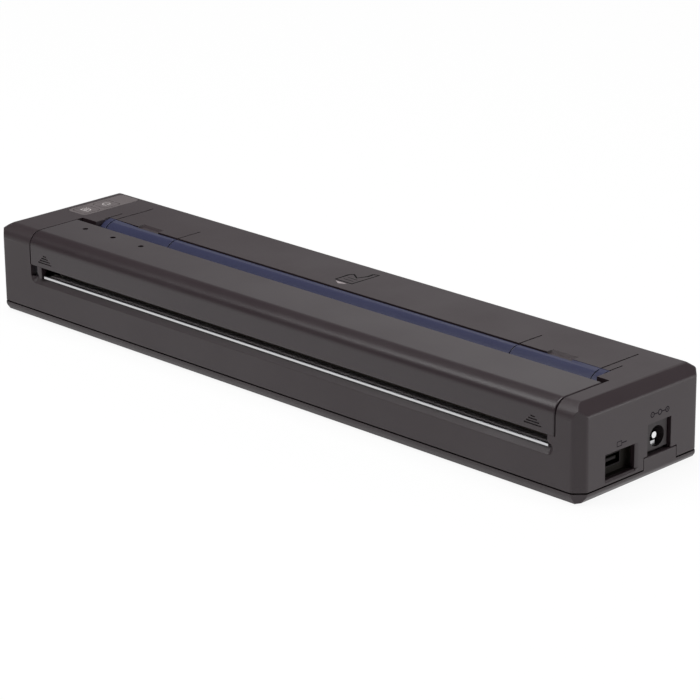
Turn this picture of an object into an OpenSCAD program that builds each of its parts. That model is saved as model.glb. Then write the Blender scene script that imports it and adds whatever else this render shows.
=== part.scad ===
// Portable thermal page printer: a flat bar with a lifting paper cover.
// Millimetres. X runs along the bar, -Y is the paper exit side, Z is up.
// The origin is the middle of the footprint, on the table.

/* [Body] */
// Width of the case from end to end
body_w = 255; // [250:1:270]
// Depth of the case from the exit side to the rear
body_d = 55; // [54:0.5:58]
// Height from the table to the top face
body_h = 30; // [29.5:0.25:31.5]
// Wall thickness of the upper case
wall = 2; // [1.6:0.1:2.2]
// Radius of the long top edge at the front
front_top_r = 4.75; // [3:0.25:5]
// Size of the two upright front corner chamfers
front_corner = 3.2; // [2:0.1:4.5]
// Size of the two upright rear corner chamfers
rear_corner = 3.9; // [2:0.1:4.5]
// How far the end top chamfers run inwards
end_top_run = 3.7; // [2.5:0.1:4.5]
// How far the end and rear top chamfers drop
top_drop = 3.4; // [2.5:0.1:4.5]
// How far the rear top chamfer runs inwards
rear_top_run = 4.3; // [3:0.1:5]

/* [Base tray] */
// Height of the parting line between tray and upper case
seam_z = 3.6; // [3.4:0.1:4]
// Width of the shadow line at every fixed parting line
seam_gap = 0.2; // [0.1:0.05:0.3]
// Thickness of the tray floor
floor_t = 1.8; // [1.4:0.1:2]
// How far the lower edge of the tray is drawn in
tray_taper = 0.8; // [0.5:0.1:2.6]
// Thickness of the tongue that locates the upper case
tongue_t = 1.2; // [0.8:0.1:1.4]
// Height of that tongue above the tray floor
tongue_h = 2.6; // [1.6:0.1:3]
// Thickness of the rubber feet
foot_h = 0.8; // [0.6:0.1:1]
// Radius of the rubber feet
foot_r = 4.5; // [3:0.25:5.5]
// Distance of the feet from the end faces
foot_end = 24; // [18:1:40]
// Distance of the feet from the long faces
foot_side = 9; // [8:0.5:12]

/* [Release cover] */
// Distance from the left end to the cover
cover_left = 16.5; // [15.5:0.25:17]
// Distance from the right end to the cover
cover_right = 9.3; // [9:0.1:10]
// Depth of the cover from the front face to its rear edge
cover_d = 20.3; // [19.8:0.1:20.6]
// Height of the lower front edge of the cover above the table
cover_edge_z = 19.2; // [18.8:0.1:19.8]
// Wall thickness of the cover
cover_wall = 1.8; // [1.4:0.1:2]
// Gap around the cover where it moves past the case
cover_gap = 0.25; // [0.15:0.05:0.35]
// Distance from the rear edge of the cover to its hinge axis
hinge_back = 2; // [1.8:0.1:2.2]
// Depth of the hinge axis below the top face
hinge_drop = 3.6; // [3.4:0.1:3.8]
// Radius of the hinge pins
hinge_pin_r = 1.25; // [1:0.05:1.5]
// Running clearance of pins, shafts and axles in their bores
run_clear = 0.05; // [0.03:0.01:0.08]
// Thickness of the cheeks that hang from both cover ends
cheek_t = 1.6; // [1.2:0.1:1.8]

/* [Platen] */
// Radius of the rubber roller
platen_r = 5.4; // [5:0.1:5.6]
// Radius of the steel roller shaft
shaft_r = 2.5; // [2:0.1:2.8]
// Distance of the roller axis behind the front face
platen_back = 11.3; // [11:0.1:11.6]
// Depth of the roller axis below the top face
platen_drop = 8.4; // [8.2:0.1:8.7]
// Wall thickness of the roller bushings
bushing_t = 0.85; // [0.6:0.05:1]

/* [Gear train] */
// Case depth for each unit of gear module
depth_per_module = 110; // [107:1:121]
// Teeth on the platen gear
platen_teeth = 22; // [21:1:23]
// Teeth on the drive gear
drive_teeth = 20; // [18:1:21]
// Teeth on the idler gear
idler_teeth = 30; // [28:1:31]
// Teeth on the motor pinion
pinion_teeth = 14; // [14:1:15]
// Face width of the gears
gear_w = 2.8; // [2:0.1:3]
// Extra centre distance for backlash
backlash = 0.12; // [0.1:0.01:0.15]
// Radius of the gear axles
axle_r = 1.2; // [0.8:0.05:1.4]
// Gap between the stepper motor and the rear wall
motor_back = 1.32; // [1.2:0.02:2.4]
// Length of the stepper motor
motor_l = 13; // [10:0.5:15]

/* [Paper path] */
// Radius of the convex paper inlet ramp
ramp_r = 6.5; // [6.2:0.1:6.7]
// Distance from the cover's rear edge to the ramp's rear edge
ramp_span = 8.5; // [8.3:0.1:8.8]
// Depth of the ramp centre behind the ramp's rear edge
ramp_centre = 0.6; // [0.4:0.1:1]
// Depth of the flat strip along the ramp's rear edge
ramp_land = 1.6; // [1.2:0.1:2]
// Thickness of the ramp skin
ramp_t = 1.6; // [1.2:0.1:1.8]
// Distance from the left end to the ramp
ramp_left = 23.5; // [23.4:0.1:24]
// Distance from the right end to the ramp
ramp_right = 14.2; // [14:0.1:15]
// Distance from the left end to the exit slot
slot_left = 22.2; // [21.6:0.1:23]
// Distance from the right end to the exit slot
slot_right = 12.3; // [12:0.1:13]
// Height of the lower lip of the exit slot
slot_z = 15.2; // [15:0.1:15.4]
// Height of the lower edge of the bevel under the slot
trough_z = 13.1; // [12.5:0.1:13.6]
// Depth of that bevel
trough_d = 1.6; // [1:0.1:1.7]
// Width of the finger pocket at the left end of the slot
pocket_w = 3.2; // [2.5:0.1:3.4]
// Width of the post between finger pocket and slot
post_w = 2.2; // [2:0.1:2.4]

/* [Print head] */
// Width of the ceramic heater board along the paper's travel
head_w = 9; // [8:0.25:9.5]
// Thickness of the ceramic heater board
head_t = 1; // [0.8:0.1:1.2]
// Thickness of the aluminium heat sink bar
sink_t = 2.6; // [2:0.1:3]
// Gap between roller and heater board for the paper
nip_gap = 0.15; // [0.1:0.01:0.2]
// How far the sprung head can be pressed down
head_travel = 0.5; // [0.3:0.05:0.6]
// Outer radius of the head springs
spring_r = 2; // [1.5:0.1:2.2]
// Number of head springs
spring_count = 4; // [2:1:6]

/* [Main board] */
// Height of the underside of the main board
board_z = 5.9; // [5.6:0.1:6]
// Thickness of the main board
board_t = 1.4; // [1:0.1:1.6]
// Distance from the left end to the main board
board_left = 56; // [54:1:64]
// Depth of the main board
board_d = 28.5; // [27:0.5:29]
// Gap from the right end face to the board
board_right = 4.4; // [4.4:0.1:5]
// Distance of the board's front edge behind the front face
board_front = 12.5; // [12:0.1:13]

/* [Ports] */
// Width of the data port opening
usb_w = 13.3; // [12.6:0.1:13.8]
// Height of the data port opening
usb_h = 7.9; // [7.4:0.1:8.3]
// Distance from the front face to the data port opening
usb_front = 10.9; // [10.4:0.1:11.4]
// Height of the lower edge of the data port opening
usb_z = 5.2; // [5.1:0.1:5.4]
// Depth of the data socket's mouth behind the end face
usb_back = 3.1; // [2.8:0.1:3.3]
// Width of the power inlet recess
dc_w = 10.4; // [10.2:0.1:11]
// Height of the power inlet recess
dc_h = 9.8; // [9.5:0.1:10.2]
// Distance from the front face to the power inlet recess
dc_front = 29.4; // [29:0.1:29.8]
// Height of the lower edge of the power inlet recess
dc_z = 7.3; // [7.3:0.1:7.6]
// Bore radius of the power inlet
dc_r = 3.2; // [2.7:0.1:3.4]
// Radius of the contact pin in the power inlet
dc_pin_r = 1; // [0.8:0.05:1.2]

/* [Keys and lights] */
// Width of the key panel
panel_w = 9.4; // [9.2:0.1:9.6]
// Length of the key panel
panel_d = 24.8; // [24:0.1:25.4]
// Distance from the left end to the key panel
panel_left = 5.9; // [5.6:0.1:6]
// Distance from the front face to the key panel
panel_front = 25; // [24.8:0.1:25.6]
// Corner radius of the key panel
panel_r = 2; // [1:0.1:2.6]
// Width of a key cap
key_w = 7; // [6:0.1:7.4]
// Length of a key cap
key_d = 7; // [6:0.1:7.4]
// Distance between the two keys
key_pitch = 8.8; // [8.2:0.1:9.2]
// Travel of the keys
key_travel = 0.4; // [0.2:0.05:0.45]
// Gap around a key cap
key_gap = 0.15; // [0.1:0.01:0.2]
// Distance from the left end to the first status light
led_left = 26.9; // [26.5:0.1:27.5]
// Distance between the status lights
led_pitch = 13.7; // [13:0.1:14.2]
// Distance from the front face to the status lights
led_front = 15.4; // [15:0.1:15.8]
// Radius of a status light
led_r = 0.9; // [0.6:0.05:1.1]

/* [Battery] */
// Gap between the ramp and the battery pack
pack_front = 2.3; // [2.2:0.1:3.6]
// Cells in one row
cell_count = 6; // [4:1:6]
// Thickness of the pack's sleeve
sleeve_t = 0.3; // [0.2:0.05:0.4]
// Distance from the left end to the pack
pack_left = 40; // [39.5:0.5:46]
// Distance from the right end to the pack
pack_right = 33.7; // [33.2:0.5:45.2]
// Height of the underside of the pack
pack_z = 10.1; // [10:0.1:10.5]
// Height of the lower edge of the battery door
door_z = 7.6; // [7.4:0.1:8]
// Height of the battery door
door_h = 14; // [13:0.25:14.6]
// Thickness of the battery door
door_t = 1.8; // [1.5:0.1:2]

/* [Fasteners] */
// Radius of the case screw shanks
screw_r = 1.1; // [0.8:0.05:1.3]
// Radius of the screw heads
screw_head_r = 2; // [1.6:0.1:2.2]
// Height of the screw heads
screw_head_h = 1.2; // [0.8:0.1:1.2]
// Outer radius of the screw bosses
boss_r = 2.6; // [2.4:0.1:2.8]
// Distance of the case screws from the end faces
screw_end = 7.4; // [7.2:0.1:8]
// Distance of the case screws from the long faces
screw_side = 7.4; // [7.2:0.1:8]
// Sheet thickness of the steel side plates and beam
sheet_t = 1; // [0.8:0.1:1.1]

/* [Hidden] */
$fn = 48;

// Overrun of every cut past the face that it opens
over = 2;
// Gap that keeps unlike pieces of one body just apart
fit = 0.1;
// Larger gap past pieces that move
swing = 0.4;

// Faces of the case
x_left = -body_w / 2;
x_right = body_w / 2;
y_front = -body_d / 2;
y_rear = body_d / 2;

// Cover, ramp and slot limits
cover_x0 = x_left + cover_left;
cover_x1 = x_right - cover_right;
cover_y1 = y_front + cover_d;
ramp_x0 = x_left + ramp_left;
ramp_x1 = x_right - ramp_right;
ramp_y1 = cover_y1 + ramp_span;
ramp_cy = ramp_y1 + ramp_centre;
ramp_cz = body_h - ramp_r;
groove_w = 0.5;
rear_lip_y = ramp_y1 + groove_w;
notch_d = 2.8;
notch_y = cover_y1 + notch_d;
slot_x0 = x_left + slot_left;
slot_x1 = x_right - slot_right;
trough_x0 = slot_x0 - post_w - pocket_w;
trough_x1 = slot_x1 + post_w;

// Hinge, roller and gear centres in the Y Z plane
hinge_y = cover_y1 - hinge_back;
hinge_z = body_h - hinge_drop;
platen_y = y_front + platen_back;
platen_z = body_h - platen_drop;
gear_m = body_d / depth_per_module;
function pitch_r(teeth) = gear_m * teeth / 2;
function mid_dist(a, b) = pitch_r(a) + pitch_r(b) + backlash;
hp_y = platen_y - hinge_y;
hp_z = platen_z - hinge_z;
hp = sqrt(hp_y * hp_y + hp_z * hp_z);
hp_angle = atan2(hp_z, hp_y);
mesh_angle = hp_angle + asin(pitch_r(platen_teeth) / hp);
mesh_reach = sqrt(hp * hp - pow(pitch_r(platen_teeth), 2));
mesh_y = hinge_y + mesh_reach * cos(mesh_angle);
mesh_z = hinge_z + mesh_reach * sin(mesh_angle);
train_a = atan2(mesh_z - platen_z, mesh_y - platen_y);
drive_y = platen_y + mid_dist(platen_teeth, drive_teeth) * cos(train_a);
drive_z = platen_z + mid_dist(platen_teeth, drive_teeth) * sin(train_a);
train_b = -23;
idler_y = drive_y + mid_dist(drive_teeth, idler_teeth) * cos(train_b);
idler_z = drive_z + mid_dist(drive_teeth, idler_teeth) * sin(train_b);
train_c = 8;
motor_y = idler_y + mid_dist(idler_teeth, pinion_teeth) * cos(train_c);
motor_z = idler_z + mid_dist(idler_teeth, pinion_teeth) * sin(train_c);
motor_r = y_rear - wall - motor_back - motor_y;

// Slices across the left end, from the case end inwards
cheek_x0 = cover_x0 + cover_gap;
gear_x0 = cheek_x0 + cheek_t + swing;
left_plate_x = gear_x0 + gear_w + swing;
right_plate_x = ramp_x1 + swing;
roller_x0 = left_plate_x + sheet_t + swing;
roller_x1 = ramp_x1 - swing;
cheek_x1 = cover_x1 - cover_gap;

// Heights of the stack under the roller
head_top = platen_z - platen_r - nip_gap;
head_y0 = platen_y - head_w / 2;
head_y1 = platen_y + head_w / 2;
sink_z = head_top - head_t - sink_t;
floor_z = foot_h + floor_t;
board_top = board_z + board_t;
bracket_z = board_top + swing;
bracket_h = 1;

// Battery pack
pack_x0 = x_left + pack_left;
pack_x1 = x_right - pack_right;
pack_y0 = ramp_y1 + pack_front;
pack_y1 = y_rear - door_t - swing;
pack_d = pack_y1 - pack_y0;
cell_l = (pack_x1 - pack_x0 - 2 * sleeve_t - fit * (cell_count + 1)) / cell_count;
cell_r = (pack_d - 2 * sleeve_t - 3 * fit) / 4;
pack_h = 2 * cell_r + 2 * fit + 2 * sleeve_t;
door_x0 = pack_x0 - 2 * door_t;
door_x1 = pack_x1 + 6 * door_t;
door_pin_r = 0.9;
door_pin_l = 2.6;
door_boss = 1.8;

// Main board
board_x0 = x_left + board_left;
board_x1 = x_right - board_right;
board_w = board_x1 - board_x0;
board_y0 = y_front + board_front;
board_y1 = board_y0 + board_d;

// Ports
usb_y0 = y_front + usb_front;
usb_y1 = usb_y0 + usb_w;
dc_y0 = y_front + dc_front;
dc_y1 = dc_y0 + dc_w;
dc_back = 1;
jack_l = 10;
jack_w = 9.2;
jack_h = 9.6;
jack_inset = 0.65;
jack_bore_h = 4.85;
jack_gap = 1;
jack_y0 = dc_y0 + jack_inset;
jack_cy = jack_y0 + jack_w / 2;
jack_cz = board_top + jack_bore_h;
tab_front = 1.6;
tab_rear = 2.8;
socket_w = 7.7;
socket_h = 3.9;
socket_l = 8;
socket_inset = 2.55;
socket_y0 = usb_y0 + socket_inset;
surround_t = 0.8;
bevel_side = 1.3;
bevel_low = 0.75;
bevel_d = 0.5;

// Keys
panel_x0 = x_left + panel_left;
panel_y0 = y_front + panel_front;
panel_t = 1.2;
key_x = panel_x0 + panel_w / 2;
feed_inset = 4.9;
feed_y = panel_y0 + feed_inset;
power_y = feed_y + key_pitch;
key_cap_t = 1;
button_board_drop = 6.2;
button_board_z = body_h - button_board_drop;

// Printed registration marks, engraved in the rear top
mark_w = 0.5;
mark_d = 0.4;

// Draws a Y Z outline from x0 to x1
module along_x(x0, x1) {
    translate([x0, 0, 0]) rotate([90, 0, 90]) linear_extrude(x1 - x0) children();
}

// Draws an X Z outline from y0 to y1
module along_y(y0, y1) {
    translate([0, y1, 0]) rotate([90, 0, 0]) linear_extrude(y1 - y0) children();
}

// Box between two corners
module block(a, b) {
    translate(a) cube(b - a);
}

// Round bar along X
module rod(x0, x1, y, z, r) {
    translate([x0, y, z]) rotate([0, 90, 0]) cylinder(h = x1 - x0, r = r);
}

// Round bar along Z
module post(x, y, z0, z1, r) {
    translate([x, y, z0]) cylinder(h = z1 - z0, r = r);
}

// Length of a 45 degree chamfer drawn in by the inset i
function cut(c, i) = c - i * (2 - sqrt(2));

// Side outline of the case, drawn in by i
module side_outline(i, z0) {
    r = front_top_r - i;
    top = body_h - i;
    union() {
        polygon([
            [y_front + i, z0],
            [y_rear - i, z0],
            [y_rear - i, top - cut(top_drop, i)],
            [y_rear - i - cut(rear_top_run, i), top],
            [y_front + i + r, top],
            [y_front + i, top - r]
        ]);
        translate([y_front + i + r, top - r]) circle(r = r);
    }
}

// End outline of the case, drawn in by i
module end_outline(i, z0) {
    top = body_h - i;
    polygon([
        [x_left + i, z0],
        [x_right - i, z0],
        [x_right - i, top - cut(top_drop, i)],
        [x_right - i - cut(end_top_run, i), top],
        [x_left + i + cut(end_top_run, i), top],
        [x_left + i, top - cut(top_drop, i)]
    ]);
}

// Footprint of the case, drawn in by i
module plan_outline(i) {
    f = cut(front_corner, i);
    b = cut(rear_corner, i);
    polygon([
        [x_left + i + f, y_front + i],
        [x_right - i - f, y_front + i],
        [x_right - i, y_front + i + f],
        [x_right - i, y_rear - i - b],
        [x_right - i - b, y_rear - i],
        [x_left + i + b, y_rear - i],
        [x_left + i, y_rear - i - b],
        [x_left + i, y_front + i + f]
    ]);
}

// Upper case as a solid above z0, drawn in by i
module case_solid(i, z0) {
    intersection() {
        along_x(x_left + i, x_right - i) side_outline(i, z0);
        along_y(y_front + i, y_rear - i) end_outline(i, z0);
        translate([0, 0, z0]) linear_extrude(body_h - z0) plan_outline(i);
    }
}

// Rectangle with rounded corners, lower left corner at the origin
module round_rect(w, d, r) {
    union() {
        translate([r, 0]) square([w - 2 * r, d]);
        translate([0, r]) square([w, d - 2 * r]);
        for (px = [r, w - r], py = [r, d - r]) translate([px, py]) circle(r = r);
    }
}

// Upright striped triangle, cut into the cover front
lift_bars = 4;
lift_w = 6.5;
lift_pitch = 0.8;
lift_bar_h = 0.4;
lift_left = 7.5;
lift_right = 8.5;
lift_up = 1.5;
module lift_mark(x) {
    for (i = [0 : lift_bars - 1]) {
        half = lift_w * (lift_bars - i) / lift_bars / 2;
        z = cover_edge_z + lift_up + i * lift_pitch;
        block([x - half, y_front - over, z], [x + half, y_front + mark_d, z + lift_bar_h]);
    }
}

// One straight registration groove in the rear top
module mark_line(x, y1) {
    block([x - mark_w / 2, rear_lip_y - over, body_h - mark_d],
        [x + mark_w / 2, y1, body_h + over]);
}

// Screw positions at the four case corners
screw_x = body_w / 2 - screw_end;
screw_y = body_d / 2 - screw_side;
module at_case_screws() {
    for (sx = [-1, 1], sy = [-1, 1]) translate([sx * screw_x, sy * screw_y, 0]) children();
}
case_boss_top = 15;

// Upright rim of the tray above its drawn in edge
tray_rim = 1.08;
tray_rear_rim = 0.72;
tray_rear_taper = 1.5 * tray_taper;

// Lower case with tongue, screw bosses and board posts
module base_tray() {
    top = seam_z - seam_gap / 2;
    color([0.2, 0.18, 0.185]) difference() {
        union() {
            intersection() {
                along_x(x_left, x_right) polygon([
                    [y_front + tray_taper, foot_h],
                    [y_rear - tray_rear_taper, foot_h],
                    [y_rear, top - tray_rear_rim],
                    [y_rear, top],
                    [y_front, top],
                    [y_front, top - tray_rim]]);
                along_y(y_front, y_rear) polygon([
                    [x_left + tray_taper, foot_h],
                    [x_right - tray_taper, foot_h],
                    [x_right, top - tray_rim],
                    [x_right, top],
                    [x_left, top],
                    [x_left, top - tray_rim]]);
                translate([0, 0, foot_h]) linear_extrude(top - foot_h) plan_outline(0);
            }
            difference() {
                translate([0, 0, foot_h + floor_t / 2])
                    linear_extrude(floor_t / 2 + tongue_h) plan_outline(wall + fit);
                translate([0, 0, floor_z])
                    linear_extrude(tongue_h + over) plan_outline(wall + fit + tongue_t);
                block([x_right - wall - tongue_t - over, usb_y0 - surround_t - fit,
                        usb_z - surround_t - fit],
                    [x_right, usb_y1 + surround_t + fit, usb_z + usb_h]);
            }
            block([x_right - wall, dc_y0 - tab_front + seam_gap, top - fit],
                [x_right, dc_y1 + tab_rear - seam_gap, dc_z]);
            for (p = board_posts) post(p[0], p[1], foot_h + floor_t / 2, board_z, boss_r);
            at_case_screws() post(0, 0, foot_h + floor_t / 2, seam_z + tongue_h, boss_r + wall / 2);
        }
        difference() {
            translate([0, 0, floor_z]) linear_extrude(seam_z) plan_outline(wall + fit + tongue_t);
            for (p = board_posts) post(p[0], p[1], foot_h, board_z, boss_r);
            at_case_screws() post(0, 0, foot_h, body_h, boss_r + wall / 2);
        }
        for (p = board_posts) post(p[0], p[1], floor_z, board_z + over, screw_r + run_clear);
        at_case_screws() {
            post(0, 0, foot_h - over, foot_h + screw_head_h + fit, screw_head_r + fit);
            post(0, 0, foot_h - over, body_h, screw_r + fit);
            post(0, 0, seam_z, body_h, boss_r + fit);
        }
    }
}
post_front = 5.62;
post_rear = 3.12;
board_posts = [for (px = [board_x0 + 2 * boss_r, right_plate_x - 3 * boss_r],
    py = [board_y0 + post_front, board_y1 - post_rear]) [px, py]];

// Upper case with cover opening, exit slot, ports and battery door opening
module body_shell() {
    bottom = seam_z + seam_gap / 2;
    color([0.22, 0.2, 0.205]) difference() {
        union() {
            difference() {
                case_solid(0, bottom);
                case_solid(wall, bottom - over);
            }
            at_case_screws() post(0, 0, seam_z + fit, case_boss_top, boss_r);
            for (sx = [-1, 1], sy = [-1, 1])
                block([min(sx * screw_x, sx * (body_w - wall) / 2), sy * screw_y - wall / 2,
                        seam_z + tongue_h + fit],
                    [max(sx * screw_x, sx * (body_w - wall) / 2), sy * screw_y + wall / 2,
                        case_boss_top]);
            case_ends();
            block([x_left + wall / 2, panel_y0 + wall, button_board_z - wall / 2],
                [panel_x0 + wall, power_y + key_d / 2, button_board_z]);
        }
        at_case_screws() post(0, 0, seam_z - over, case_boss_top - wall, screw_r + run_clear);
        block([cover_x0, y_front - over, cover_edge_z],
            [cover_x1, notch_y, body_h + over]);
        block([ramp_x0 - fit, notch_y - over, body_h - wall - over],
            [ramp_x1 + fit, rear_lip_y, body_h + over]);
        exit_slot();
        port_cuts();
        door_cut();
        key_panel_cut();
        top_marks();
        hinge_pin_holes();
    }
}

// Inner end blocks that carry the cover hinge pins
hinge_block_t = 3;
hinge_block_h = 7;
module case_ends() {
    for (xe = [cover_x0 - hinge_block_t, cover_x1])
        block([xe, hinge_y - 3 * hinge_pin_r, body_h - hinge_block_h],
            [xe + hinge_block_t, notch_y + wall, body_h - wall / 2]);
}

module hinge_pin_holes() {
    rod(cover_x0 - hinge_block_t + wall / 2, cover_x0 + over, hinge_y, hinge_z, hinge_pin_r);
    rod(cover_x1 - over, cover_x1 + hinge_block_t - wall / 2, hinge_y, hinge_z, hinge_pin_r);
}

// Exit slot, the bevel below it with round ends, and the finger pocket
module exit_slot() {
    trough_h = slot_z - trough_z;
    block([slot_x0, y_front - over, slot_z], [slot_x1, y_front + wall + over, cover_edge_z + over]);
    along_x(trough_x0 + trough_h, trough_x1 - trough_h) polygon([
        [y_front, trough_z],
        [y_front + trough_d, slot_z],
        [y_front + trough_d, slot_z + fit],
        [y_front - over, slot_z + fit],
        [y_front - over, trough_z]]);
    for (x = [trough_x0 + trough_h, trough_x1 - trough_h])
        translate([x, y_front, slot_z]) rotate([-90, 0, 0])
            cylinder(h = trough_d, r1 = trough_h, r2 = 0);
    block([trough_x0, y_front - over, slot_z],
        [trough_x0 + pocket_w, y_front + wall + over, cover_edge_z + over]);
}

// Openings of both ports, with the bevels at the data opening's rear and lower edges
module port_cuts() {
    block([x_right - wall - over, usb_y0, usb_z], [x_right + over, usb_y1, usb_z + usb_h]);
    translate([0, 0, usb_z]) linear_extrude(usb_h) polygon([
        [x_right - bevel_d, usb_y1 - fit],
        [x_right - bevel_d, usb_y1],
        [x_right, usb_y1 + bevel_side],
        [x_right + over, usb_y1 + bevel_side],
        [x_right + over, usb_y1 - fit]]);
    along_y(usb_y0, usb_y1) polygon([
        [x_right - bevel_d, usb_z + fit],
        [x_right - bevel_d, usb_z],
        [x_right, usb_z - bevel_low],
        [x_right + over, usb_z - bevel_low],
        [x_right + over, usb_z + fit]]);
    block([x_right - wall - over, dc_y0, dc_z], [x_right + over, dc_y1, dc_z + dc_h]);
    block([x_right - wall - over, dc_y0 - tab_front, seam_z - over],
        [x_right + over, dc_y1 + tab_rear, dc_z + seam_gap]);
}

module door_cut() {
    block([door_x0 - seam_gap, y_rear - wall - over, door_z - seam_gap],
        [door_x1 + seam_gap, y_rear + over, door_z + door_h + seam_gap]);
}

module key_panel_cut() {
    translate([panel_x0 - fit, panel_y0 - fit, body_h - panel_t])
        linear_extrude(panel_t + over) round_rect(panel_w + 2 * fit, panel_d + 2 * fit, panel_r + fit);
    for (ky = [feed_y, power_y])
        block([key_x - key_w / 2 - fit, ky - key_d / 2 - fit, body_h - wall - over],
            [key_x + key_w / 2 + fit, ky + key_d / 2 + fit, body_h]);
}

// Paper size guides: distances from both ends, and length behind the ramp
narrow_left = 56.8;
narrow_right = 49.1;
narrow_l = 9.8;
wide_left = 26.3;
wide_right = 17.7;
wide_l = 16.5;
outer_left = 22.9;
outer_right = 14.6;
outer_l = 5.7;
mark_places = [
    [x_left + narrow_left, narrow_l],
    [x_right - narrow_right, narrow_l],
    [x_left + wide_left, wide_l],
    [x_right - wide_right, wide_l],
    [x_left + outer_left, outer_l],
    [x_right - outer_right, outer_l]];

// Thumb scoops behind the ramp
scoop_left = 37.3;
scoop_right = 38.3;
scoop_l = 9.8;
scoop_d = 2.6;
scoop_drop = 0.6;
scoop_rise = 1.1;
module top_marks() {
    for (m = mark_places) mark_line(m[0], rear_lip_y + m[1]);
    for (sx = [x_left + scoop_left, x_right - scoop_right])
        along_x(sx, sx + scoop_l) polygon([
            [rear_lip_y - over, body_h - scoop_drop],
            [rear_lip_y + scoop_d - scoop_rise, body_h - scoop_drop],
            [rear_lip_y + scoop_d, body_h],
            [rear_lip_y + scoop_d, body_h + over],
            [rear_lip_y - over, body_h + over]]);
}

// Lifting cover: front and top skin with two end cheeks
module release_cover() {
    x0 = cover_x0 + cover_gap;
    x1 = cover_x1 - cover_gap;
    color([0.24, 0.22, 0.225]) difference() {
        union() {
            intersection() {
                difference() {
                    case_solid(0, cover_edge_z);
                    case_solid(cover_wall, cover_edge_z - over);
                }
                block([x0, y_front - over, cover_edge_z], [x1, cover_y1, body_h + over]);
            }
            cheek(cheek_x0);
            cheek(cheek_x1 - cheek_t);
            for (i = [0 : 2 : 2])
                post(led_x(i), y_front + led_front, led_board_z + led_board_t,
                    body_h - cover_wall / 2, 1.6 * led_r);
        }
        rod(cheek_x0 - over, cheek_x0 + cheek_t + over, hinge_y, hinge_z, hinge_pin_r + run_clear);
        rod(cheek_x1 - cheek_t - over, cheek_x1 + over, hinge_y, hinge_z, hinge_pin_r + run_clear);
        rod(cheek_x0 - over, cheek_x0 + cheek_t + over, platen_y, platen_z, bushing_r + fit / 2);
        rod(cheek_x1 - cheek_t - over, cheek_x1 + over, platen_y, platen_z, bushing_r + fit / 2);
        for (i = [0 : 2])
            post(led_x(i), y_front + led_front, led_board_z, body_h + over, led_r + fit / 2);
        lift_mark(cover_x0 + lift_left);
        lift_mark(cover_x1 - lift_right);
    }
}
bushing_r = shaft_r + run_clear + bushing_t;
function led_x(i) = x_left + led_left + i * led_pitch;
lens_sink = 0.5;
led_board_t = 0.6;
led_board_drop = 1.7;
led_board_z = body_h - cover_wall - led_board_drop;
led_board_end = 2.5;
led_board_w = 2 * led_pitch + 2 * led_board_end;
led_board_d = 2.6;

// Cheek plate between hinge pin and roller bushing
module cheek(x) {
    ring = bushing_r + cheek_t / 2;
    eye = hinge_pin_r + 0.8 * cheek_t;
    union() {
        rod(x, x + cheek_t, platen_y, platen_z, ring);
        rod(x, x + cheek_t, hinge_y, hinge_z, eye);
        translate([0, hinge_y, hinge_z]) rotate([hp_angle, 0, 0])
            block([x, 0, -eye], [x + cheek_t, hp, eye]);
        block([x, platen_y - ring, platen_z],
            [x + cheek_t, platen_y + ring, body_h - cover_wall]);
        block([x, y_front + cover_wall, cover_edge_z + ring / 2],
            [x + cheek_t, platen_y, platen_z + ring / 2]);
    }
}

// Clear lenses of the three status lights
module led_lenses() {
    color([0.85, 0.95, 0.85, 0.7]) for (i = [0 : 2])
        post(led_x(i), y_front + led_front, led_board_z + led_board_t + fit,
            body_h - lens_sink, led_r);
}

// Narrow board under the status lights
module led_board() {
    color([0.12, 0.36, 0.2])
        block([led_x(1) - led_board_w / 2, y_front + led_front - led_board_d / 2, led_board_z],
            [led_x(1) + led_board_w / 2, y_front + led_front + led_board_d / 2,
                led_board_z + led_board_t]);
}

// Steel pins that the cover turns on
module hinge_pins() {
    color([0.75, 0.75, 0.78]) union() {
        rod(cover_x0 - hinge_block_t + wall / 2, cheek_x0 + cheek_t, hinge_y, hinge_z, hinge_pin_r);
        rod(cheek_x1 - cheek_t, cover_x1 + hinge_block_t - wall / 2, hinge_y, hinge_z, hinge_pin_r);
    }
}

// Spring fingers that snap in front of the cheeks
latch_w = 1.4;
latch_t = 0.5;
module cover_latches() {
    color([0.78, 0.78, 0.8]) for (x = [cheek_x0, cheek_x1 - latch_w])
        union() {
            block([x, y_front + wall, slot_z - 4 * latch_w], [x + latch_w,
                y_front + wall + latch_t, cover_edge_z - swing]);
            block([x, y_front + wall, cover_edge_z - swing - latch_t],
                [x + latch_w, y_front + wall + 3 * latch_t, cover_edge_z - swing]);
        }
}

// Convex blue ramp that leads the sheet in
module inlet_ramp() {
    low = ramp_cz - ramp_foot;
    color([0.16, 0.18, 0.3]) difference() {
        union() {
            ramp_skin(low);
            for (end = [[ramp_x0, x_left + scoop_left], [x_right - scoop_right + scoop_l, ramp_x1]])
                block([end[0], ramp_y1 - fit, land_z - ramp_foot],
                    [end[1], rear_lip_y - lip_gap, land_z]);
        }
        for (m = mark_places) if (m[0] > ramp_x0 && m[0] < ramp_x1)
            along_x(m[0] - mark_w / 2, m[0] + mark_w / 2)
                translate([ramp_cy, ramp_cz]) difference() {
                    circle(r = ramp_r + over, $fn = 96);
                    circle(r = ramp_r - mark_d, $fn = 96);
                    translate([-2 * ramp_r, -2 * ramp_r]) square([4 * ramp_r, 2 * ramp_r]);
                }
    }
}

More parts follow.
